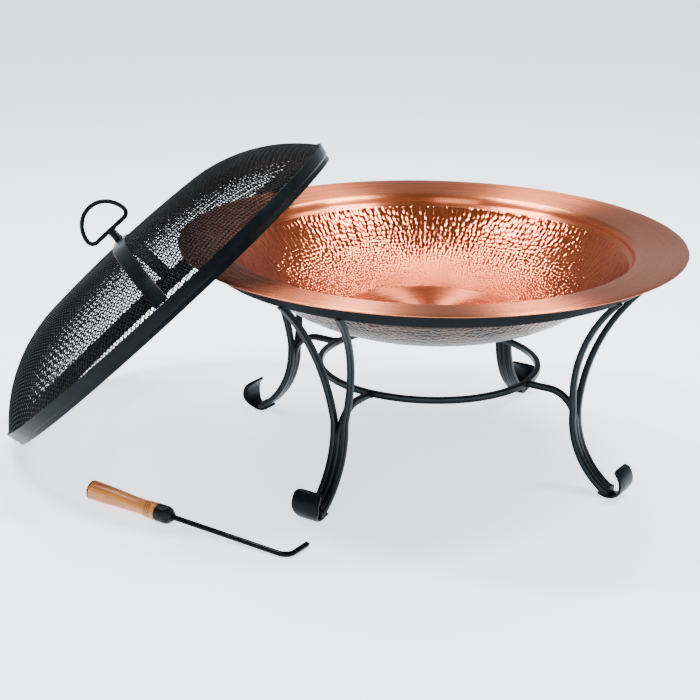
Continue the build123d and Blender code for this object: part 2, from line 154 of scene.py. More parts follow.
# %% Mesh helpers
def closed_grid(points, ring=False):
    """Faces of a tube of points (rows, columns): each point joins to its neighbours, the columns wrap
    round, and the rows wrap too in a ring or else each end gets one flat face."""
    rows, columns = points.shape[:2]
    index = np.arange(rows * columns).reshape(rows, columns)
    if ring:
        index = np.vstack([index, index[:1]])
    around = np.hstack([index, index[:, :1]])
    quads = np.stack([around[:-1, :-1], around[:-1, 1:], around[1:, 1:], around[1:, :-1]], -1).reshape(-1, 4)
    caps = [] if ring else [index[0][::-1], index[-1]]
    return quads, caps


def grid_uv(rows, columns, u, v):
    """Corner coordinates for the quads of a grid, so that the last column doesn't jump back to zero.
    u has a value for each column and one more, v a value for each row."""
    u_grid, v_grid = np.meshgrid(u, v)
    pair = np.stack([u_grid, v_grid], -1)
    corners = np.stack([pair[:-1, :-1], pair[:-1, 1:], pair[1:, 1:], pair[1:, :-1]], 2)
    return corners.reshape(-1, 2)


def outward(points, quads, caps):
    """The same faces, turned round if the volume they enclose comes out negative."""
    a, b, c, d = (points[quads[:, k]] for k in range(4))
    volume = np.einsum("ij,ij->", a, np.cross(b, c)) + np.einsum("ij,ij->", a, np.cross(c, d))
    for cap in caps:
        p = points[cap]
        volume += np.einsum("ij,ij->", np.broadcast_to(p[0], p[1:-1].shape), np.cross(p[1:-1], p[2:]))
    return volume >= 0


def add_piece(name, points, body, stands_for, material, ring=False, uv=None, sharp=40):
    """A piece from a tube of points in millimetres, which rides on a body and replaces CAD nodes."""
    rows, columns = points.shape[:2]
    quads, caps = closed_grid(points, ring)
    flat = points.reshape(-1, 3)
    spread = np.zeros((len(quads) * 4, 2)) if uv is None else grid_uv(rows + ring, columns, *uv)
    if not outward(flat - flat.mean(0), quads, caps):
        quads = quads[:, ::-1]
        spread = spread.reshape(-1, 4, 2)[:, ::-1].reshape(-1, 2)
        caps = [cap[::-1] for cap in caps]
    return add_mesh(name, flat, quads, caps, spread, body, stands_for, material, sharp)


def add_mesh(name, flat, quads, caps, spread, body, stands_for, material, sharp=40):
    """Writes points, faces and UV into a new object, with the whole arrays at once."""
    mesh = bpy.data.meshes.new(name)
    corner = np.concatenate([quads.ravel(), *caps]).astype(np.int32)
    sizes = np.concatenate([np.full(len(quads), 4), [len(cap) for cap in caps]]).astype(np.int32)
    mesh.vertices.add(len(flat))
    mesh.vertices.foreach_set("co", (flat / METRE).astype(np.float32).ravel())
    mesh.loops.add(len(corner))
    mesh.loops.foreach_set("vertex_index", corner)
    mesh.polygons.add(len(sizes))
    mesh.polygons.foreach_set("loop_start", (np.cumsum(sizes) - sizes).astype(np.int32))
    mesh.update(calc_edges=True)
    mesh.validate()
    layer = mesh.uv_layers.new(name="along_and_around")
    flat_uv = np.zeros((len(corner), 2), np.float32)
    flat_uv[: len(spread)] = spread
    layer.data.foreach_set("uv", flat_uv.ravel())
    mesh.shade_smooth()
    mesh.set_sharp_from_angle(angle=radians(sharp))
    mesh.materials.append(material)
    piece = bpy.data.objects.new(name, mesh)
    bpy.context.scene.collection.objects.link(piece)
    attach(piece, body)
    if stands_for:
        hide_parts(*stands_for)
    return piece


def turned(profile, count):
    """A profile (radius, height) carried round the z axis: x = r cos a, y = r sin a."""
    angle = np.linspace(0, 2 * pi, count, endpoint=False)
    r, z = profile[:, :1], profile[:, 1:]
    return np.stack([r * np.cos(angle), r * np.sin(angle), z + 0 * angle], -1)


def hooped(section, count):
    """A closed section (radius, height) carried round the z axis as a ring: rows go round the axis."""
    return np.swapaxes(turned(section, count), 0, 1)


def carried(path, section, side):
    """A section carried along a path. At each point the section's first direction is the side way,
    squared up to the path, and its second is across both. The section may grow along the path."""
    heading = np.gradient(path, axis=0)
    heading /= np.linalg.norm(heading, axis=1)[:, None]
    side = np.broadcast_to(np.asarray(side, float), path.shape)
    first = side - (side * heading).sum(1)[:, None] * heading
    first /= np.linalg.norm(first, axis=1)[:, None]
    second = np.cross(heading, first)
    section = np.broadcast_to(section, (len(path),) + section.shape[-2:])
    return path[:, None] + section[..., :1] * first[:, None] + section[..., 1:] * second[:, None]


def lengths(path):
    """Distance along a path at each of its points."""
    return np.concatenate([[0], np.cumsum(np.linalg.norm(np.diff(path, axis=0), axis=1))])


print("helpers ready")

# %% [markdown]
# ## Colours and nodes
#
# A material starts from what the real one is. Its colours are picked as sRGB hex values, the way a
# paint chart or a colour picker gives them, and turned to the linear values that light is summed in.
# One small function adds a node, sets its inputs and links what feeds it.

# %% Material helpers
def linear(hex_colour):
    """An sRGB hex colour as linear red, green, blue and alpha."""
    srgb = np.array([int(hex_colour[i : i + 2], 16) / 255 for i in (1, 3, 5)])
    straight = np.where(srgb <= 0.04045, srgb / 12.92, ((srgb + 0.055) / 1.055) ** 2.4)
    return (*straight, 1.0)


def add_node(tree, kind, settings=None, **inputs):
    """Adds a node. Settings are the node's own; an input is a value, or another node's socket. A
    number after i_ names an input by its place."""
    node = tree.nodes.new(kind)
    for key, value in (settings or {}).items():
        setattr(node, key, value)
    for key, value in inputs.items():
        socket = node.inputs[int(key[2:])] if key.startswith("i_") else node.inputs[key.replace("_", " ")]
        if isinstance(value, bpy.types.NodeSocket):
            tree.links.new(value, socket)
        else:
            socket.default_value = value
    return node


def new_material(name):
    """A node material with nothing in it but its surface shader, and that shader."""
    material = bpy.data.materials.new(name)
    material.use_nodes = True
    tree = material.node_tree
    return material, tree, tree.nodes["Principled BSDF"]


def colour_ramp(tree, factor, *stops):
    """A ramp through (place, hex colour) stops."""
    ramp = add_node(tree, "ShaderNodeValToRGB", i_0=factor)
    elements = ramp.color_ramp.elements
    while len(elements) < len(stops):
        elements.new(0.5)
    for element, (place, colour) in zip(elements, stops):
        element.position = place
        element.color = linear(colour)
    return ramp.outputs["Color"]


def per_mm(size):
    """Texture scale, per metre, that gives a pattern a feature this many millimetres across."""
    return METRE / size


print("copper in linear light:", [round(v, 3) for v in linear("#E59C78")])

# %% [markdown]
# ## Copper
#
# The bowl is spun from copper sheet. Its brim is scoured on the lathe, so very fine rings run round
# it and drag each highlight into a streak that points at the centre. The rings are drawn as noise
# that is long around and short across, read in polar form. Their true pitch is a tenth of a
# millimetre; here it is coarser, so that it shows. Rings too fine to draw are an anisotropic gloss,
# turned a quarter so that highlights stretch across the rings.

# %% Copper, spun and scoured
ring_pitch = 1.1
ring_run = 260.0
brim_reach = 380.0
cloud_size = 90.0
quarter_turn = 0.25


def polar_place(tree):
    """Distance from the stand's axis, angle round it, height, and the place from that axis, in metres."""
    place = add_node(tree, "ShaderNodeTexCoord").outputs["Object"]
    centred = add_node(
        tree, "ShaderNodeMapping", Vector=place, Location=(-stand_x / METRE, -stand_y / METRE, 0)
    ).outputs["Vector"]
    split = add_node(tree, "ShaderNodeSeparateXYZ", Vector=centred).outputs
    level = add_node(tree, "ShaderNodeCombineXYZ", X=split["X"], Y=split["Y"]).outputs["Vector"]
    out = add_node(tree, "ShaderNodeVectorMath", {"operation": "LENGTH"}, i_0=level).outputs["Value"]
    turn = add_node(tree, "ShaderNodeMath", {"operation": "ARCTAN2"}, i_0=split["Y"], i_1=split["X"])
    return out, turn.outputs["Value"], split["Z"], centred


def stretch_across_rings(tree, surface, anisotropy):
    """Highlights drawn out at right angles to rings round the z axis."""
    grain = add_node(tree, "ShaderNodeTangent", {"direction_type": "RADIAL", "axis": "Z"})
    tree.links.new(grain.outputs["Tangent"], surface.inputs["Tangent"])
    surface.inputs["Anisotropic"].default_value = anisotropy
    surface.inputs["Anisotropic Rotation"].default_value = quarter_turn


def copper(name, base, shade, roughness, rings, anisotropy):
    """Spun copper: a mottled pink metal with scoured rings in its bump and its roughness."""
    material, tree, surface = new_material(name)
    out, turn, height, centred = polar_place(tree)
    across = add_node(tree, "ShaderNodeMath", {"operation": "MULTIPLY"}, i_0=out, i_1=per_mm(ring_pitch))
    along = add_node(tree, "ShaderNodeMath", {"operation": "MULTIPLY"}, i_0=turn, i_1=brim_reach / ring_run)
    upright = add_node(tree, "ShaderNodeMath", {"operation": "MULTIPLY"}, i_0=height, i_1=per_mm(ring_pitch))
    ring_place = add_node(
        tree, "ShaderNodeCombineXYZ", X=across.outputs[0], Y=along.outputs[0], Z=upright.outputs[0]
    ).outputs["Vector"]
    fine = add_node(tree, "ShaderNodeTexNoise", Vector=ring_place, Scale=1.0, Detail=3.0).outputs["Fac"]
    clouds = add_node(
        tree, "ShaderNodeTexNoise", Vector=centred, Scale=per_mm(cloud_size), Detail=4.0
    ).outputs["Fac"]
    tint = colour_ramp(tree, clouds, (0.35, shade), (0.62, base))
    tree.links.new(tint, surface.inputs["Base Color"])
    rough = add_node(
        tree, "ShaderNodeMapRange", Value=fine, From_Min=0.3, From_Max=0.7,
        To_Min=roughness * 0.85, To_Max=roughness * 1.2,
    ).outputs["Result"]
    tree.links.new(rough, surface.inputs["Roughness"])
    bump = add_node(tree, "ShaderNodeBump", Strength=rings, Distance=0.0002, Height=fine).outputs["Normal"]
    tree.links.new(bump, surface.inputs["Normal"])
    surface.inputs["Metallic"].default_value = 1.0
    stretch_across_rings(tree, surface, anisotropy)
    return material


scoured_copper = copper("scoured_copper", "#E68054", "#DC744A", 0.28, 0.14, 0.97)
print("brim:", scoured_copper.name)

# %% [markdown]
# The hammered wall is the same copper: a planishing hammer or a press has left shallow round marks
# side by side, each a small mirror. Shallow marks are in the mesh, and the material adds a crisp
# hollow for each, which the mesh would be too coarse for: the square of the distance to the nearest
# cell centre. Clouds of a darker tone are where the press has drawn the sheet thin. The underside is
# the same sheet, painted a dark grey-brown: painted shade for the shadow under the bowl.

# %% Copper, hammered
marks_round = 240
mark_disorder = 0.65
tone_size = 70.0


def hammered_copper(name, base, shade, roughness, mark_bump, anisotropy):
    """Hammered copper: clouds of tone, and a bump of cells, one for each hammer mark. The cells are
    read on a cylinder with as many marks round it as the bowl has, at a height that grows with the
    logarithm of one over the radius, so they shrink towards the floor and meet without a seam."""
    material, tree, surface = new_material(name)
    out, turn, height, centred = polar_place(tree)
    clouds = add_node(
        tree, "ShaderNodeTexNoise", Vector=centred, Scale=per_mm(tone_size), Detail=5.0
    ).outputs["Fac"]
    tint = colour_ramp(tree, clouds, (0.3, shade), (0.65, base))
    tree.links.new(tint, surface.inputs["Base Color"])
    cylinder_r = marks_round / (2 * pi)
    outward_way = add_node(
        tree, "ShaderNodeCombineXYZ",
        X=add_node(tree, "ShaderNodeMath", {"operation": "COSINE"}, i_0=turn).outputs[0],
        Y=add_node(tree, "ShaderNodeMath", {"operation": "SINE"}, i_0=turn).outputs[0],
        Z=add_node(tree, "ShaderNodeMath", {"operation": "LOGARITHM"}, i_0=out, i_1=1 / np.e).outputs[0],
    ).outputs["Vector"]
    mark_place = add_node(
        tree, "ShaderNodeVectorMath", {"operation": "SCALE"}, i_0=outward_way, Scale=cylinder_r
    ).outputs["Vector"]
    cells = add_node(
        tree, "ShaderNodeTexVoronoi", {"feature": "F1"}, Vector=mark_place, Scale=1.0,
        Randomness=mark_disorder,
    ).outputs["Distance"]
    hollows = add_node(tree, "ShaderNodeMath", {"operation": "POWER"}, i_0=cells, i_1=2.0).outputs[0]
    bump = add_node(
        tree, "ShaderNodeBump", Strength=1.0, Distance=mark_bump / METRE, Height=hollows
    ).outputs["Normal"]
    tree.links.new(bump, surface.inputs["Normal"])
    surface.inputs["Metallic"].default_value = 1.0
    surface.inputs["Roughness"].default_value = roughness
    stretch_across_rings(tree, surface, anisotropy)
    return material


hammered_inside = hammered_copper("hammered_copper", "#DC7448", "#CA623C", 0.17, 1.35, 0.35)
# the underside's dark grey-brown is painted shade, standing in for the shadow under the bowl
underside_shade_copper = hammered_copper("underside_painted_shade_copper", "#6A4C3A", "#2E1E14", 0.25, 3.4, 0.0)
print("wall:", hammered_inside.name, "underside:", underside_shade_copper.name)

# %% [markdown]
# ## Black enamel on iron
#
# The stand, hoop, strap and handles are mild steel under black satin enamel. Enamel is a smooth
# plastic film, nearly black, with a weak blue-grey sheen. The corners of a bar are painted paler: a
# painted highlight where the corners catch the lamps, together with rubbed wear where the film is thin.
# Under the film the bar keeps a faint hammered unevenness, and over it lies dust, which makes the gloss
# and the painted corner highlight patchy. A bar's UV counts quarter turns round its section, so its
# corners are easy to find.

# %% Enamel
dust_size = 30.0
# pale blue-grey for the corners of bars: a painted edge highlight, with some rubbed wear
edge_sheen_and_wear_colour = "#5E7075"


def black_enamel(name, edge_sheen_and_wear, roughness=0.32, waves=9.0, deep="#030506", thin="#080D0F"):
    """Satin enamel, from a deep to a thin film. The second argument is how pale the corners of a bar's
    section are painted, from 0 to 1: a painted edge highlight together with rubbed wear. waves is the
    size in millimetres of the unevenness under the film."""
    material, tree, surface = new_material(name)
    place = add_node(tree, "ShaderNodeTexCoord").outputs
    uneven = add_node(
        tree, "ShaderNodeTexNoise", Vector=place["Object"], Scale=per_mm(waves), Detail=2.0
    ).outputs["Fac"]
    dust = add_node(
        tree, "ShaderNodeTexNoise", Vector=place["Object"], Scale=per_mm(dust_size), Detail=6.0, Roughness=0.7
    ).outputs["Fac"]
    film = colour_ramp(tree, dust, (0.35, deep), (0.7, thin))
    # corners of the section are mixed towards the pale colour, patchy with the dust: a painted edge
    # highlight, with rubbed wear
    if edge_sheen_and_wear:
        around = add_node(tree, "ShaderNodeSeparateXYZ", Vector=place["UV"]).outputs["X"]
        part = add_node(tree, "ShaderNodeMath", {"operation": "FRACT"}, i_0=around).outputs[0]
        off = add_node(tree, "ShaderNodeMath", {"operation": "SUBTRACT"}, i_0=part, i_1=0.5).outputs[0]
        corner = add_node(tree, "ShaderNodeMath", {"operation": "ABSOLUTE"}, i_0=off).outputs[0]
        corner_sheen_and_wear = add_node(
            tree, "ShaderNodeMapRange", Value=corner, From_Min=0.34, From_Max=0.5, To_Min=0.0, To_Max=edge_sheen_and_wear
        ).outputs["Result"]
        patchy_corner_sheen = add_node(
            tree, "ShaderNodeMath", {"operation": "MULTIPLY"}, i_0=corner_sheen_and_wear, i_1=dust
        ).outputs[0]
        film = add_node(
            tree, "ShaderNodeMix", {"data_type": "RGBA"}, i_0=patchy_corner_sheen, i_6=film, i_7=linear(edge_sheen_and_wear_colour)
        ).outputs[2]
    tree.links.new(film, surface.inputs["Base Color"])
    rough = add_node(
        tree, "ShaderNodeMapRange", Value=dust, From_Min=0.3, From_Max=0.75,
        To_Min=roughness * 0.8, To_Max=roughness * 1.35,
    ).outputs["Result"]
    tree.links.new(rough, surface.inputs["Roughness"])
    bump = add_node(tree, "ShaderNodeBump", Strength=0.35, Distance=0.0005, Height=uneven).outputs["Normal"]
    tree.links.new(bump, surface.inputs["Normal"])
    surface.inputs["IOR"].default_value = 1.52
    surface.inputs["Specular IOR Level"].default_value = 0.08
    return material


# bars get the pale painted corners: painted edge highlight and rubbed wear
bar_enamel = black_enamel("enamelled_bar", edge_sheen_and_wear=0.4)
flat_enamel = black_enamel("enamelled_strip", edge_sheen_and_wear=0.0, deep="#05090B", thin="#0C151A")
gloss_enamel = black_enamel("glossy_rod_enamel", edge_sheen_and_wear=0.0, roughness=0.16, waves=25.0)
weld_enamel = black_enamel("enamelled_weld", edge_sheen_and_wear=0.0, roughness=0.28, waves=3.0)
print("enamels:", bar_enamel.name, flat_enamel.name, gloss_enamel.name, weld_enamel.name)

# %% [markdown]
# ## The copper bowl
#
# One sheet is spun into the bowl: a wide brim that falls a little inwards, a tight roll, a step, and
# a hammered wall that curves down to a flat floor. It is made as one closed shell, from the middle
# of the underside, out round the rim, and back over the top. The hammer marks are real hollows in
# the mesh. They sit in rings with the same number in each, so they get smaller towards the floor, as
# they do on a bowl whose marks are pressed from the middle outwards. That also makes them easy: in
# turns and in the logarithm of the radius, the marks are a plain grid with a little disorder.

# %% Bowl outline and hammer marks
bowl_r = 381.0
bowl_sheet = 1.5
brim_width, brim_fall = 69.0, 4.8
roll_r, roll_end = 12.0, 80.0
ledge_bend_r, ledge_fall, ledge_width = 8.0, 40.0, 4.5
wall_fall, wall_r = 54.0, 235.0
floor_r = 142.0
mark_depth = 0.3
mark_radius = 0.72
centre_wander = 0.27
samples_per_mark = 3

rim_round = bowl_sheet / 2
to_wall = walk(
    (bowl_r - rim_round, rim_height - rim_round * sin(radians(brim_fall))), 180 + brim_fall,
    [
        (brim_width / cos(radians(brim_fall)) - rim_round, 0, 4),
        (roll_r, roll_end - brim_fall, 7),
        (ledge_bend_r, ledge_fall - roll_end, 4),
        (ledge_width / cos(radians(ledge_fall)), 0, 2),
    ],
)
wall_top = to_wall[-1]
wall_centre_r = wall_top[0] - wall_r * sin(radians(wall_fall))
mark_rows = marks_round / (2 * pi) * np.log(wall_top[0] / floor_r)


def down_the_wall(rows):
    """Wall points whose radius shrinks by the same share each row: the wall's circle gives height."""
    r = wall_top[0] * np.exp(np.linspace(0, 1, rows) * np.log(floor_r / wall_top[0]))
    centre_z = wall_top[1] + wall_r * cos(radians(wall_fall))
    return np.stack([r, centre_z - np.sqrt(wall_r**2 - (r - wall_centre_r) ** 2)], -1)


def hammer_marks(r, angle, seed=7):
    """Depth of the marks, 0 to 1. In units of marks, each point looks at the nine nearest centres of
    a grid that is shifted by half a mark in every other row and disordered, and the depth falls off
    from the nearest centre as a round hollow does: 1 - distance squared."""
    along = angle * marks_round / (2 * pi)
    down = marks_round / (2 * pi) * np.log(wall_top[0] / r)
    rows = int(mark_rows) + 4
    disorder = np.random.default_rng(seed).uniform(-centre_wander, centre_wander, (rows, marks_round, 2))
    size = np.random.default_rng(seed + 1).uniform(0.55, 1.0, (rows, marks_round))
    nearest = np.full(along.shape, 9.0)
    chosen = np.ones(along.shape)
    for row_step in (-1, 0, 1):
        row = np.floor(down).astype(int) + row_step
        for step in (-1, 0, 1):
            column = np.floor(along - 0.5 * (row % 2)).astype(int) + step
            pick = (np.clip(row + 1, 0, rows - 1), column % marks_round)
            off_x = column + 0.5 + 0.5 * (row % 2) + disorder[pick][..., 0] - along
            off_y = row + 0.5 + disorder[pick][..., 1] - down
            gap = np.hypot(off_x, off_y)
            chosen = np.where(gap < nearest, size[pick], chosen)
            nearest = np.minimum(gap, nearest)
    inside = np.clip(down, 0, 1) * np.clip(mark_rows - down, 0, 1)
    return np.clip(1 - (nearest / mark_radius) ** 2, 0, 1) * chosen * inside


largest_mark = 2 * pi * wall_top[0] / marks_round
print("hammer marks in a ring:", marks_round, "largest:", round(largest_mark, 1), "mm")

# %% The bowl's shell
wall_rows = int(mark_rows * samples_per_mark)
wall = down_the_wall(wall_rows)
floor_rings = np.array([(r, wall[-1][1]) for r in (0.66 * floor_r, 0.33 * floor_r, 4.0)])
top_line = np.concatenate([to_wall[:-1], wall, floor_rings])

coarse = np.concatenate([to_wall[:-1], down_the_wall(9), floor_rings[1:]])
fall = np.gradient(coarse, axis=0)
fall /= np.linalg.norm(fall, axis=1)[:, None]
under_line = (coarse + bowl_sheet * np.stack([-fall[:, 1], fall[:, 0]], -1))[::-1]
edge_line = walk(under_line[-1], brim_fall, [(rim_round, 180, 4)])[1:-1]
bowl_line = np.concatenate([under_line, edge_line, top_line])

shell = turned(bowl_line, marks_round * samples_per_mark)
wall_start = len(under_line) + len(edge_line) + len(to_wall) - 1
angle = np.linspace(0, 2 * pi, shell.shape[1], endpoint=False)
hollow = hammer_marks(wall[:, :1] + 0 * angle, angle + 0 * wall[:, :1])
slope_in = np.gradient(wall, axis=0)
slope_in /= np.linalg.norm(slope_in, axis=1)[:, None]
sink = mark_depth * hollow * np.clip(wall[:, :1] / wall_top[0], 0.5, 1)
shell[wall_start : wall_start + wall_rows, :, 2] -= sink * -slope_in[:, :1]
shell[wall_start : wall_start + wall_rows, :, 0] -= sink * slope_in[:, 1:] * np.cos(angle)
shell[wall_start : wall_start + wall_rows, :, 1] -= sink * slope_in[:, 1:] * np.sin(angle)

bowl = add_piece("bowl_shell", placed(shell, stand_frame), "bowl", ["bowl"], scoured_copper, sharp=60)
bowl.data.materials.append(hammered_inside)
bowl.data.materials.append(underside_shade_copper)
columns = shell.shape[1]
row_of_face = np.arange(len(bowl.data.polygons)) // columns
finish = np.zeros(len(row_of_face), np.int32)
finish[(row_of_face >= wall_start) & (row_of_face < wall_start + wall_rows - 1)] = 1
# faces beyond the brim's underside get the dark copper, which is painted shade under the bowl
rows_under_brim = 9
finish[row_of_face < len(under_line) - rows_under_brim] = 2
finish[-2] = 2
bowl.data.polygons.foreach_set("material_index", finish)
print("bowl faces:", len(bowl.data.polygons), "wall rows:", wall_rows)

# %% [markdown]
# ## The stand's two rings
#
# The seat ring is flat strip, 25 by 4 mm, rolled into a hoop; the lower ring is square bar. Each is a
# small section turned round the stand's axis. Rolled bar is never quite even, so the section
# breathes by a tenth of a millimetre or two on its way round.

# %% Rings
seat_low, seat_high = box_mm("seat_ring")
lower_low, lower_high = box_mm("lower_ring")
bar = 9.0
bar_corner = 1.6


def ring_piece(name, node, middle_r, middle_z, section, count, unevenness, material):
    """A section carried round the stand's axis, with its middle moved a little by three slow waves."""
    ring = hooped(section + np.array((middle_r, middle_z)), count)
    turn = np.linspace(0, 2 * pi, count, endpoint=False)[:, None]
    wave = unevenness * (np.sin(5 * turn + 1) + 0.6 * np.sin(11 * turn) + 0.4 * np.sin(23 * turn + 2)) / 2
    ring[..., 0] += wave * np.cos(turn)
    ring[..., 1] += wave * np.sin(turn)
    columns = len(section)
    uv = (np.arange(columns + 1) * 4 / columns, np.arange(count + 1) * 2 * pi * middle_r / count)
    piece = add_piece(name, placed(ring, stand_frame), "stand", [node], material, ring=True, uv=uv)
    return piece


seat_r = (seat_high[0] - seat_low[0]) / 2
seat_thick = 4.0
seat_height = seat_high[2] - seat_low[2]
ring_piece(
    "seat_hoop", "seat_ring", seat_r - seat_thick / 2, (seat_low[2] + seat_high[2]) / 2,
    bar_section(seat_thick, seat_height, 1.2), 240, 0.1, flat_enamel,
)
lower_r = (lower_high[0] - lower_low[0]) / 2
lower_middle = (lower_low[2] + lower_high[2]) / 2
ring_piece(
    "tie_ring", "lower_ring", lower_r - bar / 2, lower_middle, bar_section(bar, bar, bar_corner), 180, 0.2,
    bar_enamel,
)
print("seat ring radius", round(seat_r), "lower ring radius", round(lower_r))

# %% [markdown]
# ## The legs
#
# Each leg is three square bars, welded side by side from the foot to the waist. There the outer two
# fork apart and sweep up to the seat ring, and the middle one turns in to the lower ring. A smith
# bends each bar cold round a former, so its line is a chain of arcs. The same arcs are worked out
# here as points (out, up, side) in the leg's own upright plane, and a rounded square section is
# carried along them.

# %% Leg lines
leg_count = 4
first_leg = -24.6
waist_out, waist_height = 251.0, 115.0
leg_top_out = 328.0
fork_height, fork_spread, fork_bend_r = 127.0, 47.0, 40.0
bracket_leave = radians(5.0)
foot_out, leaf_r, leaf_thick = 314.0, 26.0, 4.0
leaf_width, leaf_neck, leaf_end, leaf_corner_r = 45.0, 26.0, 60.0, 9.0
leaf_edge = 1.4
bar_tip = radians(5.0)
seat_bottom = seat_low[2]

curl_r = leaf_r - leaf_thick - bar / 2
shin_reach, shin_drop = foot_out - waist_out, waist_height - leaf_r
shin_r = (shin_reach**2 + shin_drop**2 - curl_r**2) / (2 * (shin_reach - curl_r))
shin_lean = atan2(shin_drop, shin_r - shin_reach)
splay = atan2(fork_spread - bar, seat_bottom - fork_height)
bend_start = fork_height - fork_bend_r * tan(splay / 2)
bend_side = bar + fork_bend_r * (1 - cos(splay))
bend_top = bend_start + fork_bend_r * sin(splay)
thigh_rise = (seat_bottom - bend_top) / cos(splay)
thigh_out = leg_top_out - waist_out
thigh_r = (thigh_rise**2 + thigh_out**2) / (2 * thigh_out)


def arc(centre, radius, start, stop, steps):
    """Points (out, up) on a circle, from one angle to another, without the first."""
    turn = np.linspace(start, stop, steps + 1)[1:]
    return np.stack([centre[0] + radius * np.cos(turn), centre[1] + radius * np.sin(turn)], -1)


def foot_and_shin(side, stop):
    """From the bar's tip in the foot's curl up the shin, until the shin's circle reaches an angle."""
    curl = arc((foot_out, leaf_r), curl_r, bar_tip - pi / 2 + 0.02, shin_lean - pi, 14)
    shin = arc((waist_out + shin_r, waist_height), shin_r, shin_lean - pi, stop, 16)
    line = np.concatenate([curl, shin])
    return np.column_stack([line, np.full(len(line), side * bar)])


def outer_bar_line(side):
    """Foot, shin, waist, the sideways bend, and the sweep out to the seat ring in a tilted plane."""
    low = foot_and_shin(side, -pi)
    t = np.linspace(0, splay, 8)[1:]
    bend_out = side * (bar + fork_bend_r * (1 - np.cos(t)))
    bend = np.stack([waist_out + 0 * t, bend_start + fork_bend_r * np.sin(t), bend_out], -1)
    t = np.linspace(0, np.arcsin(thigh_rise / thigh_r), 26)[1:]
    rise = thigh_r * np.sin(t)
    sweep_out = side * (bend_side + rise * sin(splay))
    sweep = np.stack([waist_out + thigh_r * (1 - np.cos(t)), bend_top + rise * cos(splay), sweep_out], -1)
    return np.concatenate([low, bend, sweep])


def middle_bar_line():
    """Foot and shin, then a turn inwards to the lower ring."""
    low = foot_and_shin(0, -pi + bracket_leave)
    leave = low[-1]
    turn_r = (lower_middle - leave[1]) / (1 - sin(bracket_leave))
    centre = (leave[0] - turn_r * cos(bracket_leave), lower_middle - turn_r)
    turn = arc(centre, turn_r, bracket_leave, pi / 2, 14)
    run = np.linspace(centre[0], lower_r - bar * 0.4, 6)[1:]
    line = np.concatenate([turn, np.column_stack([run, np.full(5, lower_middle)])])
    return np.concatenate([low, np.column_stack([line, np.zeros(len(line))])])


print("outer bar length:", round(lengths(outer_bar_line(1))[-1]), "mm, middle bar:",
      round(lengths(middle_bar_line())[-1]), "mm")

# %% Leg pieces
def leg_ways(azimuth):
    """Outward and sideways directions of a leg's plane."""
    out_way = np.array((cos(azimuth), sin(azimuth), 0.0))
    return out_way, np.cross(out_way, UP)


def in_leg(line, azimuth):
    """Points (out, up, side) of a leg turned to the object's frame."""
    out_way, side_way = leg_ways(azimuth)
    base = np.array((stand_x, stand_y, 0.0))
    return base + line[:, :1] * out_way + line[:, 1:2] * UP + line[:, 2:] * side_way


def bar_piece(name, line, azimuth, node):
    """A square bar along a leg line. A bar that reaches the seat ring is sawn level under it."""
    path = in_leg(line, azimuth)
    section = bar_section(bar, bar, bar_corner)
    points = carried(path, section, leg_ways(azimuth)[1])
    if path[-1][2] > seat_bottom - bar:
        way = path[-1] - path[-2]
        points[-1] += way * ((seat_bottom - points[-1][:, 2:]) / way[2])
    columns = points.shape[1]
    piece = add_piece(
        name, points, "stand", [node], bar_enamel, uv=(np.arange(columns + 1) * 4 / columns, lengths(path))
    )
    return piece


def leaf_piece(name, azimuth, node):
    """The curled plate under a foot: a strip round the foot's circle whose width grows from the neck
    to the leaf with its height, and whose free end has round corners."""
    last, tip = radians(leaf_end), radians(24)
    to_tip = last - tip * np.linspace(0.9, 0, 12) ** 2
    angle = np.concatenate([np.linspace(shin_lean - pi, last - tip, 30), to_tip])
    middle_r = leaf_r - leaf_thick / 2
    height = leaf_r + middle_r * np.sin(angle)
    line = np.column_stack([foot_out + middle_r * np.cos(angle), height, 0 * angle])
    share = np.clip((height - leaf_thick) / (leaf_r - leaf_thick), 0, 1)
    half = (leaf_neck + (leaf_width - leaf_neck) * np.sin(share * pi / 2)) / 2
    to_end = np.clip((last - angle) * middle_r, 0, leaf_corner_r)
    half = half - leaf_corner_r + np.sqrt(leaf_corner_r**2 - (leaf_corner_r - to_end) ** 2)
    section = np.stack([bar_section(2 * width, leaf_thick, leaf_edge) for width in half])
    points = carried(in_leg(line, azimuth), section, leg_ways(azimuth)[1])
    piece = add_piece(name, points, "stand", [node], flat_enamel)
    return piece


leg_places = ["front_right", "back_right", "back_left", "front_left"]
for number, place in enumerate(leg_places):
    azimuth = radians(first_leg + number * 360 / leg_count)
    bar_piece(f"{place}_left_bar", outer_bar_line(-1), azimuth, f"leg_{place}_left_bar")
    bar_piece(f"{place}_right_bar", outer_bar_line(1), azimuth, f"leg_{place}_right_bar")
    bar_piece(f"{place}_middle_bar", middle_bar_line(), azimuth, f"leg_{place}_middle_bar")
    leaf_piece(f"{place}_foot_leaf", azimuth, f"leg_{place}_foot_leaf")
print("legs:", leg_count)

# %% [markdown]
# ## Welds
#
# Where a bar meets a ring, the weld is a lumpy bead that nobody ground off. A bead is a fat line: a
# round section carried along the joint, whose radius rises and falls along the line in small steps,
# as each drop of metal froze over the one before.

# %% Weld beads
def bead(name, path, radius, drops, body, seed=0):
    """A weld bead: its radius follows a flattened half circle, 1 minus a square, to the power 0.35,
    times ripples one drop apart."""
    t = np.linspace(0.0, 1, 26)
    stations = np.linspace(0, 1, len(path))
    line = np.stack([np.interp(t, stations, path[:, k]) for k in range(3)], -1)
    dome = np.clip(1 - (2 * t - 1) ** 2, 0.02, 1) ** 0.35
    ripple = 1 + 0.13 * np.abs(np.sin(pi * drops * t + seed)) + 0.05 * np.sin(7 * t + 2 * seed)
    turn = np.linspace(0, 2 * pi, 12, endpoint=False)
    circle = np.stack([np.cos(turn), np.sin(turn)], -1)
    section = (radius * dome * ripple)[:, None, None] * circle
    whole = line[-1] - line[0]
    is_flat = abs(whole[2]) < 0.7 * np.linalg.norm(whole)
    side = UP if is_flat else np.array((1.0, 0.3, 0))
    piece = add_piece(name, carried(line, section, side), body, [], weld_enamel, sharp=80)
    return piece


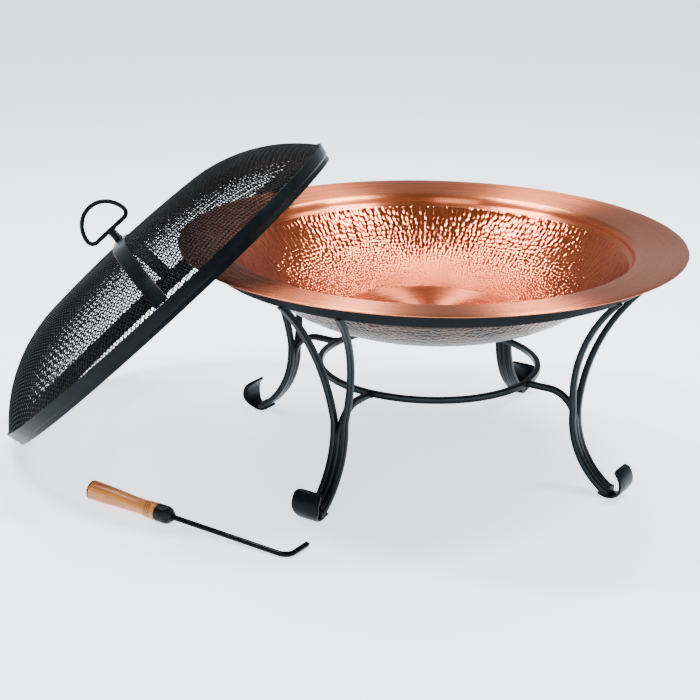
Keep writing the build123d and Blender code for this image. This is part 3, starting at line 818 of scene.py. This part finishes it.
for number, place in enumerate(leg_places):
    azimuth = radians(first_leg + number * 360 / leg_count)
    ring_face = lower_r + 0.6
    top_edge, low_edge = lower_middle + bar * 0.42, lower_middle - bar * 0.42
    for label, height in (("top", top_edge), ("low", low_edge)):
        wide = bar * 0.75
        dip = (ring_face - 0.4, height, 0)
        across = np.array([(ring_face, height, -wide), dip, (ring_face, height, wide)])
        bead(f"{place}_ring_weld_{label}", in_leg(across, azimuth), 1.9, 4, "stand", number)
    for side in (-1, 1):
        upright = np.array([(ring_face, low_edge, side * bar * 0.5), (ring_face, top_edge, side * bar * 0.5)])
        bead(f"{place}_ring_weld_side_{side + 1}", in_leg(upright, azimuth), 2.1, 3, "stand", number + side)
        seat_spot = in_leg(outer_bar_line(side)[-1:], azimuth)[0]
        out_way, side_way = leg_ways(azimuth)
        seam = np.stack([seat_spot + out_way * 1.0 + side_way * w for w in (-bar * 0.55, 0, bar * 0.55)])
        seam[:, 2] = seat_bottom - 0.6
        bead(f"{place}_seat_weld_{side + 1}", seam, 1.7, 4, "stand", number + side)
        line = outer_bar_line(side)
        near_waist = (line[:, 1] > waist_height - 40) & (line[:, 1] < waist_height + 6)
        waist = line[near_waist & (line[:, 0] < waist_out + 12)]
        middle_side = np.full(len(waist), side * bar * 0.5)
        crack = np.column_stack([waist[:, 0] - bar * 0.36, waist[:, 1], middle_side])[::2]
        bead(f"{place}_waist_weld_{side + 1}", in_leg(crack, azimuth), 1.5, 7, "stand", number + side)

# %% [markdown]
# ## The spark screen's hoop
#
# The screen's rim is two bands spun together: a hoop that stands on the ground or on the bowl, turned
# in at its foot, and above a small step a flared strip that hides the edge of the mesh. It is one
# closed section turned round the crown's axis. Its corners are rolled, not sharp.

# %% Hoop, clamp ring
flange_width, flange_thick = 8.8, 2.0
hem_height, hoop_step, hoop_sheet = 7.5, 2.0, 2.0
mesh_edge = 24.0
clamp_low, clamp_high, clamp_thick = 12.0, 22.0, 1.5
flare_low = (hoop_r + hoop_step, hem_height + hoop_step)
flare = atan2(hoop_top_r - flare_low[0], hoop_height - flare_low[1])


def flare_r(height, depth):
    """Radius at a height in the hoop, a depth inside the flared strip's outer face."""
    return flare_low[0] + (height - flare_low[1]) * tan(flare) - depth / cos(flare)


def screen_ring(name, node, corners, corner_r, material, count=300):
    """A closed section turned round the screen's axis."""
    points = placed(hooped(eased(corners, corner_r), count), screen_frame)
    piece = add_piece(name, points, "screen", [node], material, ring=True)
    return piece


screen_ring(
    "rim_hoop", "screen_hoop",
    [
        (hoop_r - flange_width, 0), (hoop_r, 0), (hoop_r, hem_height), flare_low, (hoop_top_r, hoop_height),
        (flare_r(hoop_height, hoop_sheet), hoop_height), (flare_r(flare_low[1], hoop_sheet), flare_low[1]),
        (hoop_r - hoop_sheet, hem_height), (hoop_r - hoop_sheet, flange_thick),
        (hoop_r - flange_width, flange_thick),
    ],
    0.8, flat_enamel,
)
skirt_room = 1.8
skirt_depth = hoop_sheet + skirt_room
screen_ring(
    "inner_clamp", "mesh_clamp_ring",
    [
        (flare_r(clamp_low, skirt_depth), clamp_low), (flare_r(clamp_high, skirt_depth), clamp_high),
        (flare_r(clamp_high, skirt_depth + clamp_thick), clamp_high),
        (flare_r(clamp_low, skirt_depth + clamp_thick), clamp_low),
    ],
    0.4, flat_enamel,
)
print("hoop:", round(2 * hoop_top_r), "mm across at the strip's edge")

# %% [markdown]
# ## The woven dome
#
# The dome is wire cloth, pressed over a former: two sets of wires at right angles, each wire over
# one and under the next. So it is made of wires, not of a sheet with holes painted on. Every wire
# lies over a straight line in the plan view, at a constant pitch, and its height comes from the
# dome's outline plus a small zigzag for the weave. Past the dome's edge a wire turns down behind the
# strip. Each set is one piece, a four-sided tube for each wire, worked out for all wires at once.

# %% Dome outline
dome_edge_fall, dome_crown_fall, dome_shoulder_r = radians(50.5), radians(4.0), 260.0
dome_edge_r = flare_r(mesh_edge, hoop_sheet)
shoulder_out = dome_edge_r - dome_shoulder_r * sin(dome_edge_fall)
shoulder_up = mesh_edge - dome_shoulder_r * cos(dome_edge_fall)
crown_r = (shoulder_out + dome_shoulder_r * sin(dome_crown_fall)) / sin(dome_crown_fall)
crown_up = shoulder_up - (crown_r - dome_shoulder_r) * cos(dome_crown_fall)
shoulder_start = shoulder_out + dome_shoulder_r * sin(dome_crown_fall)


def dome_height(r, raised=0.0):
    """Height of the dome over the hoop's foot: a wide circle at the crown, a tighter one outside it."""
    crown_part = crown_up + np.sqrt(np.maximum((crown_r + raised) ** 2 - r**2, 0))
    off = np.maximum(r - shoulder_out, 0)
    shoulder_part = shoulder_up + np.sqrt(np.maximum((dome_shoulder_r + raised) ** 2 - off**2, 0))
    return np.where(r < shoulder_start, crown_part, shoulder_part)


# %% Wires
wire_pitch = 4.6
wire_r = 0.84
weave_share = 0.62
weave_turn = radians(45)
skirt_run = 9.0


def wire_cloth(name, turn, phase, stands_for):
    """One set of parallel wires. Along a wire, samples are a pitch apart, so they fall on its
    crossings, and the weave lifts one and lowers the next by half a wire. Beyond the dome's edge the
    samples slide down the skirt, and those that reach its end are left out."""
    count = int(2 * dome_edge_r / wire_pitch) // 2 * 2 - 1
    offset = (np.arange(count) - count // 2) * wire_pitch
    steps = count + 2 * int(skirt_run / wire_pitch) + 4
    along = (np.arange(steps) - steps // 2) * wire_pitch
    o, t = np.meshgrid(offset, along, indexing="ij")
    reach = np.sqrt(dome_edge_r**2 - o**2) - 0.9
    over = np.clip(np.abs(t) - reach, 0, skirt_run)
    on_dome = np.clip(t, -reach, reach)
    r = np.hypot(o, on_dome)
    is_over = (np.arange(count)[:, None] + np.arange(steps)[None] + phase) % 2
    lift = np.where(is_over, 1, -1) * wire_r * weave_share
    height = dome_height(r, -wire_r) - over * cos(flare) - np.where(over > 0, 0, lift)
    shrink = 1 - over * sin(flare) / dome_edge_r
    line = np.stack([o * shrink, on_dome * shrink, height], -1)
    kept = over < skirt_run
    kept |= np.roll(kept, 1, 1) | np.roll(kept, -1, 1)
    heading = np.gradient(line, axis=1)
    heading /= np.maximum(np.linalg.norm(heading, axis=2), 1e-6)[..., None]
    side = np.array((1.0, 0, 0)) - heading[..., :1] * heading
    side /= np.linalg.norm(side, axis=2)[..., None]
    lifted = np.cross(heading, side)
    ring = np.stack([side, lifted, -side, -lifted], 2) * wire_r
    points = line[:, :, None] + ring
    x, y, z = points[..., 0], points[..., 1], points[..., 2]
    points = np.stack([x * cos(turn) - y * sin(turn), x * sin(turn) + y * cos(turn), z], -1)
    index = np.arange(count * steps * 4).reshape(count, steps, 4)
    pair = kept[:, :-1] & kept[:, 1:]
    around = np.concatenate([index, index[..., :1]], -1)
    here, ahead = around[:, :-1], around[:, 1:]
    quads = np.stack([here[..., :-1], here[..., 1:], ahead[..., 1:], ahead[..., :-1]], -1)[pair]
    first = np.argmax(kept, 1)
    last = steps - 1 - np.argmax(kept[:, ::-1], 1)
    rows = np.arange(count)
    ends = np.concatenate([index[rows, first][:, ::-1], index[rows, last]])
    quads = np.concatenate([quads.reshape(-1, 4), ends])
    flat = placed(points.reshape(-1, 3), screen_frame)
    used = np.unique(quads)
    renumber = np.zeros(len(flat), int)
    renumber[used] = np.arange(len(used))
    quads = renumber[quads]
    flat = flat[used]
    if not outward(flat - flat.mean(0), quads, []):
        quads = quads[:, ::-1]
    spread = np.zeros((len(quads) * 4, 2))
    piece = add_mesh(name, flat, quads, [], spread, "screen", stands_for, mesh_enamel, sharp=180)
    print(name, "wires:", count, "faces:", len(quads))
    return piece


mesh_enamel = black_enamel("enamelled_wire", edge_sheen_and_wear=0.0, roughness=0.38, waves=2.0)
wire_cloth("warp_wires", weave_turn, 0, ["screen_mesh"])
wire_cloth("weft_wires", weave_turn + pi / 2, 1, ["screen_mesh"])

# %% [markdown]
# ## Strap and lifting handle
#
# A flat strap crosses the dome, turned a little from straight across, and is welded to the strip at
# both ends. A short stem stands on it at the crown and carries a D-shaped loop of round rod. Inside,
# a washer and a nut hold the stem's stud.

# %% Strap
strap_width, strap_thick = 23.0, 3.0
strap_turn = radians(19.0)
strap_side = np.cross(crown, np.array((0, 1.0, 0)))
strap_way = cos(strap_turn) * np.array((0, 1.0, 0)) + sin(strap_turn) * strap_side
strap_across = np.cross(crown, strap_way)

reach = np.linspace(-1, 1, 81)
reach = np.sign(reach) * np.sin(np.abs(reach) * pi / 2) * (dome_edge_r - 1.2)
strap_up = dome_height(np.abs(reach)) + strap_thick / 2
strap_line = screen_origin + reach[:, None] * strap_way + strap_up[:, None] * crown
strap_points = carried(strap_line, bar_section(strap_width, strap_thick, 1.0), strap_across)
strap_run = lengths(strap_line)
strap = add_piece("crown_strap", strap_points, "screen", ["screen_strap"], flat_enamel)
for end, spot in (("near", strap_line[0]), ("far", strap_line[-1])):
    half = strap_width * 0.48
    seam = np.stack([spot + strap_across * w + crown * 1.0 for w in (-half, 0, half)])
    bead(f"strap_weld_{end}", seam, 1.8, 7, "screen")
print("strap length:", round(strap_run[-1]), "mm")

# %% Stem, loop, washer, nut
stem_r, stem_length, loop_rod_r = 6.5, 17.0, 3.5
loop_width, loop_rise, loop_corner_r = 82.0, 47.0, 10.0
crown_top = float(dome_height(0.0)) + strap_thick
loop_height = crown_top + stem_length + loop_rod_r

weld_foot = [(stem_r + 2.6, crown_top - 0.5), (stem_r + 1.8, crown_top + 1.6), (stem_r, crown_top + 3.2)]
upright = [(stem_r, crown_top + 6), (stem_r - 0.1, loop_height - 3), (stem_r - 0.4, loop_height - 0.5)]
weld_top = [(stem_r - 1.6, loop_height + 0.8), (stem_r - 3.5, loop_height + 1.6), (0.8, loop_height + 2.0)]
stem_profile = np.concatenate([[(0.8, crown_top - 0.5)], eased(weld_foot, 1.0)[3:9], upright, weld_top])
stem_points = placed(turned(stem_profile, 40), screen_frame)
stem = add_piece("lift_stem", stem_points, "screen", ["handle_stem"], weld_enamel, sharp=50)

loop_circle_r = ((loop_width / 2) ** 2 + loop_rise**2) / (2 * loop_rise)
corner_turn = np.arccos((loop_rise - loop_corner_r - loop_circle_r) / (loop_circle_r - loop_corner_r))
straight = (loop_circle_r - loop_corner_r) * sin(corner_turn)
loop_plan = walk(
    (0, loop_height), 0,
    [
        (straight, 0, 6), (loop_corner_r, degrees(corner_turn), 8),
        (loop_circle_r, 360 - 2 * degrees(corner_turn), 40), (loop_corner_r, degrees(corner_turn), 8),
        (straight, 0, 6),
    ],
)[:-1]
loop_line = placed(np.column_stack([loop_plan[:, 0], 0 * loop_plan[:, 0], loop_plan[:, 1]]), screen_frame)
wrapped = np.concatenate([loop_line[-1:], loop_line, loop_line[:1]])
turn = np.linspace(0, 2 * pi, 16, endpoint=False)
rod_section = loop_rod_r * np.stack([np.cos(turn), np.sin(turn)], -1)
loop_points = carried(wrapped, rod_section, np.array((0, 1.0, 0)))[1:-1]
loop = add_piece("lift_loop", loop_points, "screen", ["handle_loop"], gloss_enamel, ring=True, sharp=80)
for node in ("stem_washer", "stem_nut"):
    hidden_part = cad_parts[node]
    hidden_part.data.materials.clear()
    hidden_part.data.materials.append(flat_enamel)
print("loop:", round(loop_width), "by", round(loop_rise), "mm")

# %% [markdown]
# ## The poker
#
# The poker is a glossy black rod with a right-angled hook, a steel ferrule with a round front, a
# turned hardwood grip under varnish, and a thin dark cap. It lies on the ground on its hook and its
# ferrule. Turned parts are made the way a lathe makes them: one outline turned round the rod's axis.
# The grip's outline is a smooth curve from the ferrule to a slim neck and out to a round butt, with
# three small grooves cut near the ferrule.

# %% Poker lines
rod_r, rod_length = 4.0, 194.0
ferrule_r, ferrule_length = 13.0, 27.0
ferrule_nose_r, ferrule_nose, ferrule_round = 7.0, 4.0, 9.0
grip_length, grip_neck_r, grip_butt_r, grip_neck = 117.0, 11.3, 14.3, 0.27
groove_first, groove_pitch, groove_count, groove_r = 9.0, 4.0, 3, 1.1
cap_thick, cap_round = 3.0, 1.2
hook_length, hook_bend_r = 48.0, 15.0

shoulder = rod_length + ferrule_nose + ferrule_round
poker_rise = np.arcsin(-rod_r / np.hypot(shoulder, ferrule_r)) + atan2(ferrule_r, shoulder)
poker_turn, hook_turn = radians(156.3), radians(65.6)
poker_start = np.array((stand_x - 145.0, stand_y - 418.0, rod_r))
poker_way = np.array(
    (cos(poker_rise) * cos(poker_turn), cos(poker_rise) * sin(poker_turn), sin(poker_rise))
)
poker_side = np.array((sin(poker_turn), -cos(poker_turn), 0.0))
poker_frame = (poker_start, poker_side, np.cross(poker_way, poker_side), poker_way)
hook_way = np.array((cos(hook_turn), sin(hook_turn), 0.0))
grip_start = rod_length + ferrule_length
grip_end = grip_start + grip_length
print("poker rises", round(degrees(poker_rise), 2), "degrees to the grip")

# %% Rod and hook
between = np.arccos(np.dot(poker_way, hook_way))
tangent = hook_bend_r / tan(between / 2)
middle_way = (poker_way + hook_way) / np.linalg.norm(poker_way + hook_way)
bend_centre = poker_start + middle_way * hook_bend_r / sin(between / 2)
start_spot, stop_spot = poker_start + poker_way * tangent, poker_start + hook_way * tangent
first_arm, last_arm = start_spot - bend_centre, stop_spot - bend_centre
swing = np.arccos(np.dot(first_arm, last_arm) / hook_bend_r**2)
t = np.linspace(0, 1, 13)[1:-1, None]
bend = bend_centre + (np.sin((1 - t) * swing) * first_arm + np.sin(t * swing) * last_arm) / sin(swing)
inside_grip = poker_start + poker_way * (grip_start + 6)
run = start_spot + np.linspace(1, 0, 12)[:, None] * (inside_grip - start_spot)
hook_end = poker_start + hook_way * hook_length
hook_run = stop_spot + np.linspace(0, 1, 6)[:, None] * (hook_end - stop_spot)
rod_line = np.concatenate([run, bend, hook_run, hook_end[None] + 0.01 * hook_way])
size = np.ones(len(rod_line))
size[-2:] = (1.0, 0.62)
rod_line[-2] -= hook_way * 1.4
rod_circle = np.stack([np.cos(turn), np.sin(turn)], -1) * rod_r
rod_points = carried(rod_line, rod_circle * size[:, None, None], UP)
rod = add_piece("hooked_rod", rod_points, "poker", ["poker_rod"], gloss_enamel, sharp=50)
print("rod:", round(lengths(rod_line)[-1]), "mm")

# %% [markdown]
# The grip is a pale hardwood such as beech, stained honey-orange and varnished. Its grain runs along
# the grip: long narrow streaks, with darker pores in them. In the pattern, distance along the grip is
# squeezed nearly thirty to one, so that round noise becomes streaks. A clear coat over a rougher wood gives
# the sharp highlight on a soft colour that varnish has.

# %% Varnished wood and dark steel
fibre_size, growth_size = 2.4, 8.0
grain_squeeze = 0.035


def varnished_wood(name, pale, middle, dark):
    """Streaky grain along the grip's own axis under a clear coat."""
    material, tree, surface = new_material(name)
    place = add_node(tree, "ShaderNodeTexCoord").outputs["Object"]
    lean = Matrix((poker_frame[1], poker_frame[2], poker_frame[3])).to_euler()
    along = add_node(
        tree, "ShaderNodeMapping", Vector=place, Rotation=tuple(lean),
        Location=(0, 0, -np.dot(poker_start, poker_way) / METRE),
    ).outputs["Vector"]
    squeezed = add_node(
        tree, "ShaderNodeMapping", Vector=along, Scale=(1.0, 1.0, grain_squeeze)
    ).outputs["Vector"]
    streaks = add_node(
        tree, "ShaderNodeTexNoise", Vector=squeezed, Scale=per_mm(fibre_size), Detail=6.0,
        Roughness=0.62, Distortion=0.3,
    ).outputs["Fac"]
    rings = add_node(
        tree, "ShaderNodeTexNoise", Vector=squeezed, Scale=per_mm(growth_size), Detail=2.0
    ).outputs["Fac"]
    both = add_node(
        tree, "ShaderNodeMix", {"data_type": "FLOAT"}, i_0=0.45, i_2=streaks, i_3=rings
    ).outputs[0]
    bare = colour_ramp(tree, both, (0.36, dark), (0.5, middle), (0.64, pale))
    # each of the three grooves is painted a darker brown across its width
    distance = add_node(tree, "ShaderNodeSeparateXYZ", Vector=along).outputs["Z"]
    first_groove = grip_start + groove_first
    band = add_node(
        tree, "ShaderNodeMapRange", Value=distance, To_Max=groove_count,
        From_Min=(first_groove - groove_pitch / 2) / METRE,
        From_Max=(first_groove + (groove_count - 0.5) * groove_pitch) / METRE,
    ).outputs["Result"]
    in_band = add_node(tree, "ShaderNodeMath", {"operation": "FRACT"}, i_0=band).outputs[0]
    off = add_node(tree, "ShaderNodeMath", {"operation": "SUBTRACT"}, i_0=in_band, i_1=0.5).outputs[0]
    near = add_node(tree, "ShaderNodeMath", {"operation": "ABSOLUTE"}, i_0=off).outputs[0]
    groove_darkening = add_node(
        tree, "ShaderNodeMapRange", Value=near, From_Min=0.12, From_Max=0.28, To_Min=0.75, To_Max=0.0
    ).outputs["Result"]
    groove_darkened = add_node(
        tree, "ShaderNodeMix", {"data_type": "RGBA"}, i_0=groove_darkening, i_6=bare, i_7=linear("#4A2408")
    ).outputs[2]
    tree.links.new(groove_darkened, surface.inputs["Base Color"])
    bump = add_node(tree, "ShaderNodeBump", Strength=0.25, Distance=0.0003, Height=streaks).outputs["Normal"]
    tree.links.new(bump, surface.inputs["Normal"])
    surface.inputs["Roughness"].default_value = 0.42
    surface.inputs["Coat Weight"].default_value = 0.5
    surface.inputs["Coat Roughness"].default_value = 0.12
    return material


def dark_steel(name, colour, roughness):
    """Blackened turned steel: a fine grit in its bump and cloudy blue-brown oxide."""
    material, tree, surface = new_material(name)
    place = add_node(tree, "ShaderNodeTexCoord").outputs["Object"]
    clouds = add_node(tree, "ShaderNodeTexNoise", Vector=place, Scale=per_mm(14), Detail=5.0).outputs["Fac"]
    tree.links.new(colour_ramp(tree, clouds, (0.3, "#080B0D"), (0.7, colour)), surface.inputs["Base Color"])
    grit = add_node(tree, "ShaderNodeTexNoise", Vector=place, Scale=per_mm(1.2), Detail=3.0).outputs["Fac"]
    bump = add_node(tree, "ShaderNodeBump", Strength=0.2, Distance=0.0002, Height=grit).outputs["Normal"]
    tree.links.new(bump, surface.inputs["Normal"])
    surface.inputs["Metallic"].default_value = 0.4
    surface.inputs["Specular IOR Level"].default_value = 0.2
    surface.inputs["Roughness"].default_value = roughness
    return material


grip_wood = varnished_wood("varnished_beech", "#E08C34", "#CC7526", "#86430F")
ferrule_steel = dark_steel("blackened_steel", "#1A2024", 0.34)
cap_plastic = black_enamel("dark_end_cap", edge_sheen_and_wear=0.0, roughness=0.4, waves=6.0)
print("grip:", grip_wood.name)

# %% Ferrule, grip, cap
def on_poker(name, outline, node, material, sharp=35, count=64):
    """An outline (distance along the poker, radius) turned round the poker's axis."""
    points = placed(turned(outline[:, ::-1], count), poker_frame)
    piece = add_piece(name, points, "poker", [node], material, sharp=sharp)
    return piece


quarter = np.linspace(0, pi / 2, 12)
nose_r = ferrule_nose_r + 1
ferrule_outline = np.concatenate([
    [(rod_length, 3.0), (rod_length, ferrule_nose_r - 0.6), (rod_length + 0.6, ferrule_nose_r)],
    np.column_stack([
        rod_length + ferrule_nose + ferrule_round * (1 - np.cos(quarter)),
        nose_r + (ferrule_r - nose_r) * np.sin(quarter),
    ]),
    [(grip_start - 0.8, ferrule_r), (grip_start - 0.1, ferrule_r - 0.5), (grip_start, 3.0)],
])
on_poker("grip_ferrule", ferrule_outline, "poker_ferrule", ferrule_steel)

from_ferrule = np.concatenate([
    np.linspace(0.2, groove_first + groove_count * groove_pitch, 90),
    np.linspace(groove_first + groove_count * groove_pitch + 1, grip_length, 60),
])
share = from_ferrule / grip_length
to_neck = np.clip(share / grip_neck, 0, 1)
to_butt = np.clip((share - grip_neck) / (1 - grip_neck), 0, 1)
ease = to_neck**2 * (3 - 2 * to_neck)
swell = np.sin(to_butt * pi / 2) ** 1.6
grip_r = ferrule_r - 0.15 - (ferrule_r - 0.15 - grip_neck_r) * ease + (grip_butt_r - grip_neck_r) * swell
for number in range(groove_count):
    off = np.abs(from_ferrule - groove_first - number * groove_pitch)
    grip_r = grip_r - np.where(off < groove_r, np.sqrt(np.maximum(groove_r**2 - off**2, 0)), 0)
grip_outline = np.concatenate([
    [(grip_start, 3.0), (grip_start, ferrule_r - 0.6)],
    np.column_stack([grip_start + from_ferrule, grip_r]),
    [(grip_end, 3.0)],
])
on_poker("turned_grip", grip_outline, "poker_handle", grip_wood, sharp=50)
cap_outline = np.concatenate([
    [(grip_end, 3.0), (grip_end, grip_butt_r - 0.3)],
    np.column_stack([
        grip_end + cap_thick - cap_round * (1 - np.sin(quarter)),
        grip_butt_r - cap_round * (1 - np.cos(quarter)),
    ]),
    [(grip_end + cap_thick, 8.0), (grip_end + cap_thick - 0.3, 1.0)],
])
on_poker("grip_cap", cap_outline, "poker_end_cap", cap_plastic)
print("grip:", round(grip_length), "mm long,", round(2 * grip_butt_r, 1), "mm at the butt")

# %% [markdown]
# ## Studio
#
# The set stands on white studio paper that glows a little, as paper lit from all sides would, under
# a big soft sky. Polished copper shows what is around it, so the sky matters more than the lamps: it
# is bright near the horizon and darker overhead. The copper brim looks up into the darker part, and
# four narrow softboxes, two beside the bowl and two behind it, show in the brim as streaks. A wide,
# weak lamp in front of the set lifts the near legs and feet out of black.

# %% Floor
floor_size = 30.0
floor_mesh = bpy.data.meshes.new("pale_floor")
half_floor = floor_size / 2
floor_corners = [(x * half_floor, y * half_floor, 0) for x, y in ((-1, -1), (1, -1), (1, 1), (-1, 1))]
floor_mesh.from_pydata(floor_corners, [], [(0, 1, 2, 3)])
floor = bpy.data.objects.new("pale_floor", floor_mesh)
bpy.context.scene.collection.objects.link(floor)
paper, paper_surface = new_material("studio_paper")[::2]
paper_surface.inputs["Base Color"].default_value = linear("#F2F7FA")
paper_surface.inputs["Emission Color"].default_value = linear("#DDECF6")
paper_surface.inputs["Emission Strength"].default_value = 2.0
paper_surface.inputs["Roughness"].default_value = 0.85
floor_mesh.materials.append(paper)

# %% Sky and softboxes
world = bpy.data.worlds.new("soft_sky")
bpy.context.scene.world = world
world.use_nodes = True
sky_tree = world.node_tree
sky_height = add_node(
    sky_tree, "ShaderNodeSeparateXYZ", Vector=add_node(sky_tree, "ShaderNodeTexCoord").outputs["Generated"]
).outputs["Z"]
sky = colour_ramp(
    sky_tree, sky_height, (0.0, "#F4F9FB"), (0.12, "#D5DDE1"), (0.5, "#A6B0B5"), (0.9, "#7A848A")
)
sky_surface = sky_tree.nodes["Background"]
sky_tree.links.new(sky, sky_surface.inputs["Color"])
sky_surface.inputs["Strength"].default_value = 0.8


def softbox(name, place, aim, width, height, power):
    """A rectangular lamp in metres that faces its aim."""
    lamp = bpy.data.lights.new(name, "AREA")
    lamp.shape = "RECTANGLE"
    lamp.size, lamp.size_y, lamp.energy = width, height, power
    holder = bpy.data.objects.new(name, lamp)
    back = np.array(place, float) - np.array(aim, float)
    back /= np.linalg.norm(back)
    side = np.cross(UP, back)
    side /= np.linalg.norm(side)
    turned_to = Matrix(np.stack([side, np.cross(back, side), back], -1)).to_4x4()
    turned_to.translation = place
    holder.matrix_world = turned_to
    bpy.context.scene.collection.objects.link(holder)
    return holder


middle = (stand_x / METRE, stand_y / METRE, 0.3)
for name, side in (("left", -1), ("right", 1)):
    softbox(f"{name}_box", (middle[0] + side * 1.15, middle[1] + 0.05, 2.3), middle, 0.22, 0.9, 62)
    softbox(f"{name}_back_box", (middle[0] + side * 0.54, middle[1] + 1.2, 2.3), middle, 0.16, 0.6, 32)
softbox("front_fill", (middle[0] - 0.6, middle[1] - 3.2, 1.9), middle, 1.6, 1.2, 30)

# %% Camera
camera_place = np.array((stand_x / METRE + 0.2140, stand_y / METRE - 2.4166, 1.0035))
camera_turn, camera_dip, camera_roll = radians(7.93), radians(19.0985), radians(0.7764)
level_right = np.array((cos(camera_turn), sin(camera_turn), 0.0))
ahead_x, ahead_y = -sin(camera_turn), cos(camera_turn)
level_up = np.array((ahead_x * sin(camera_dip), ahead_y * sin(camera_dip), cos(camera_dip)))
camera_right = cos(camera_roll) * level_right + sin(camera_roll) * level_up
camera_up = -sin(camera_roll) * level_right + cos(camera_roll) * level_up

lens = bpy.data.cameras.new("studio_camera")
lens.lens, lens.sensor_width = 85.64, 36.0
lens.shift_y = -1 / 700
lens.clip_end = 60.0
camera = bpy.data.objects.new("studio_camera", lens)
camera_matrix = Matrix(np.stack([camera_right, camera_up, np.cross(camera_right, camera_up)], -1)).to_4x4()
camera_matrix.translation = camera_place
camera.matrix_world = camera_matrix
bpy.context.scene.collection.objects.link(camera)
bpy.context.scene.camera = camera
print("camera", round(float(np.linalg.norm(camera_place - np.array(middle))), 2), "m from the bowl")
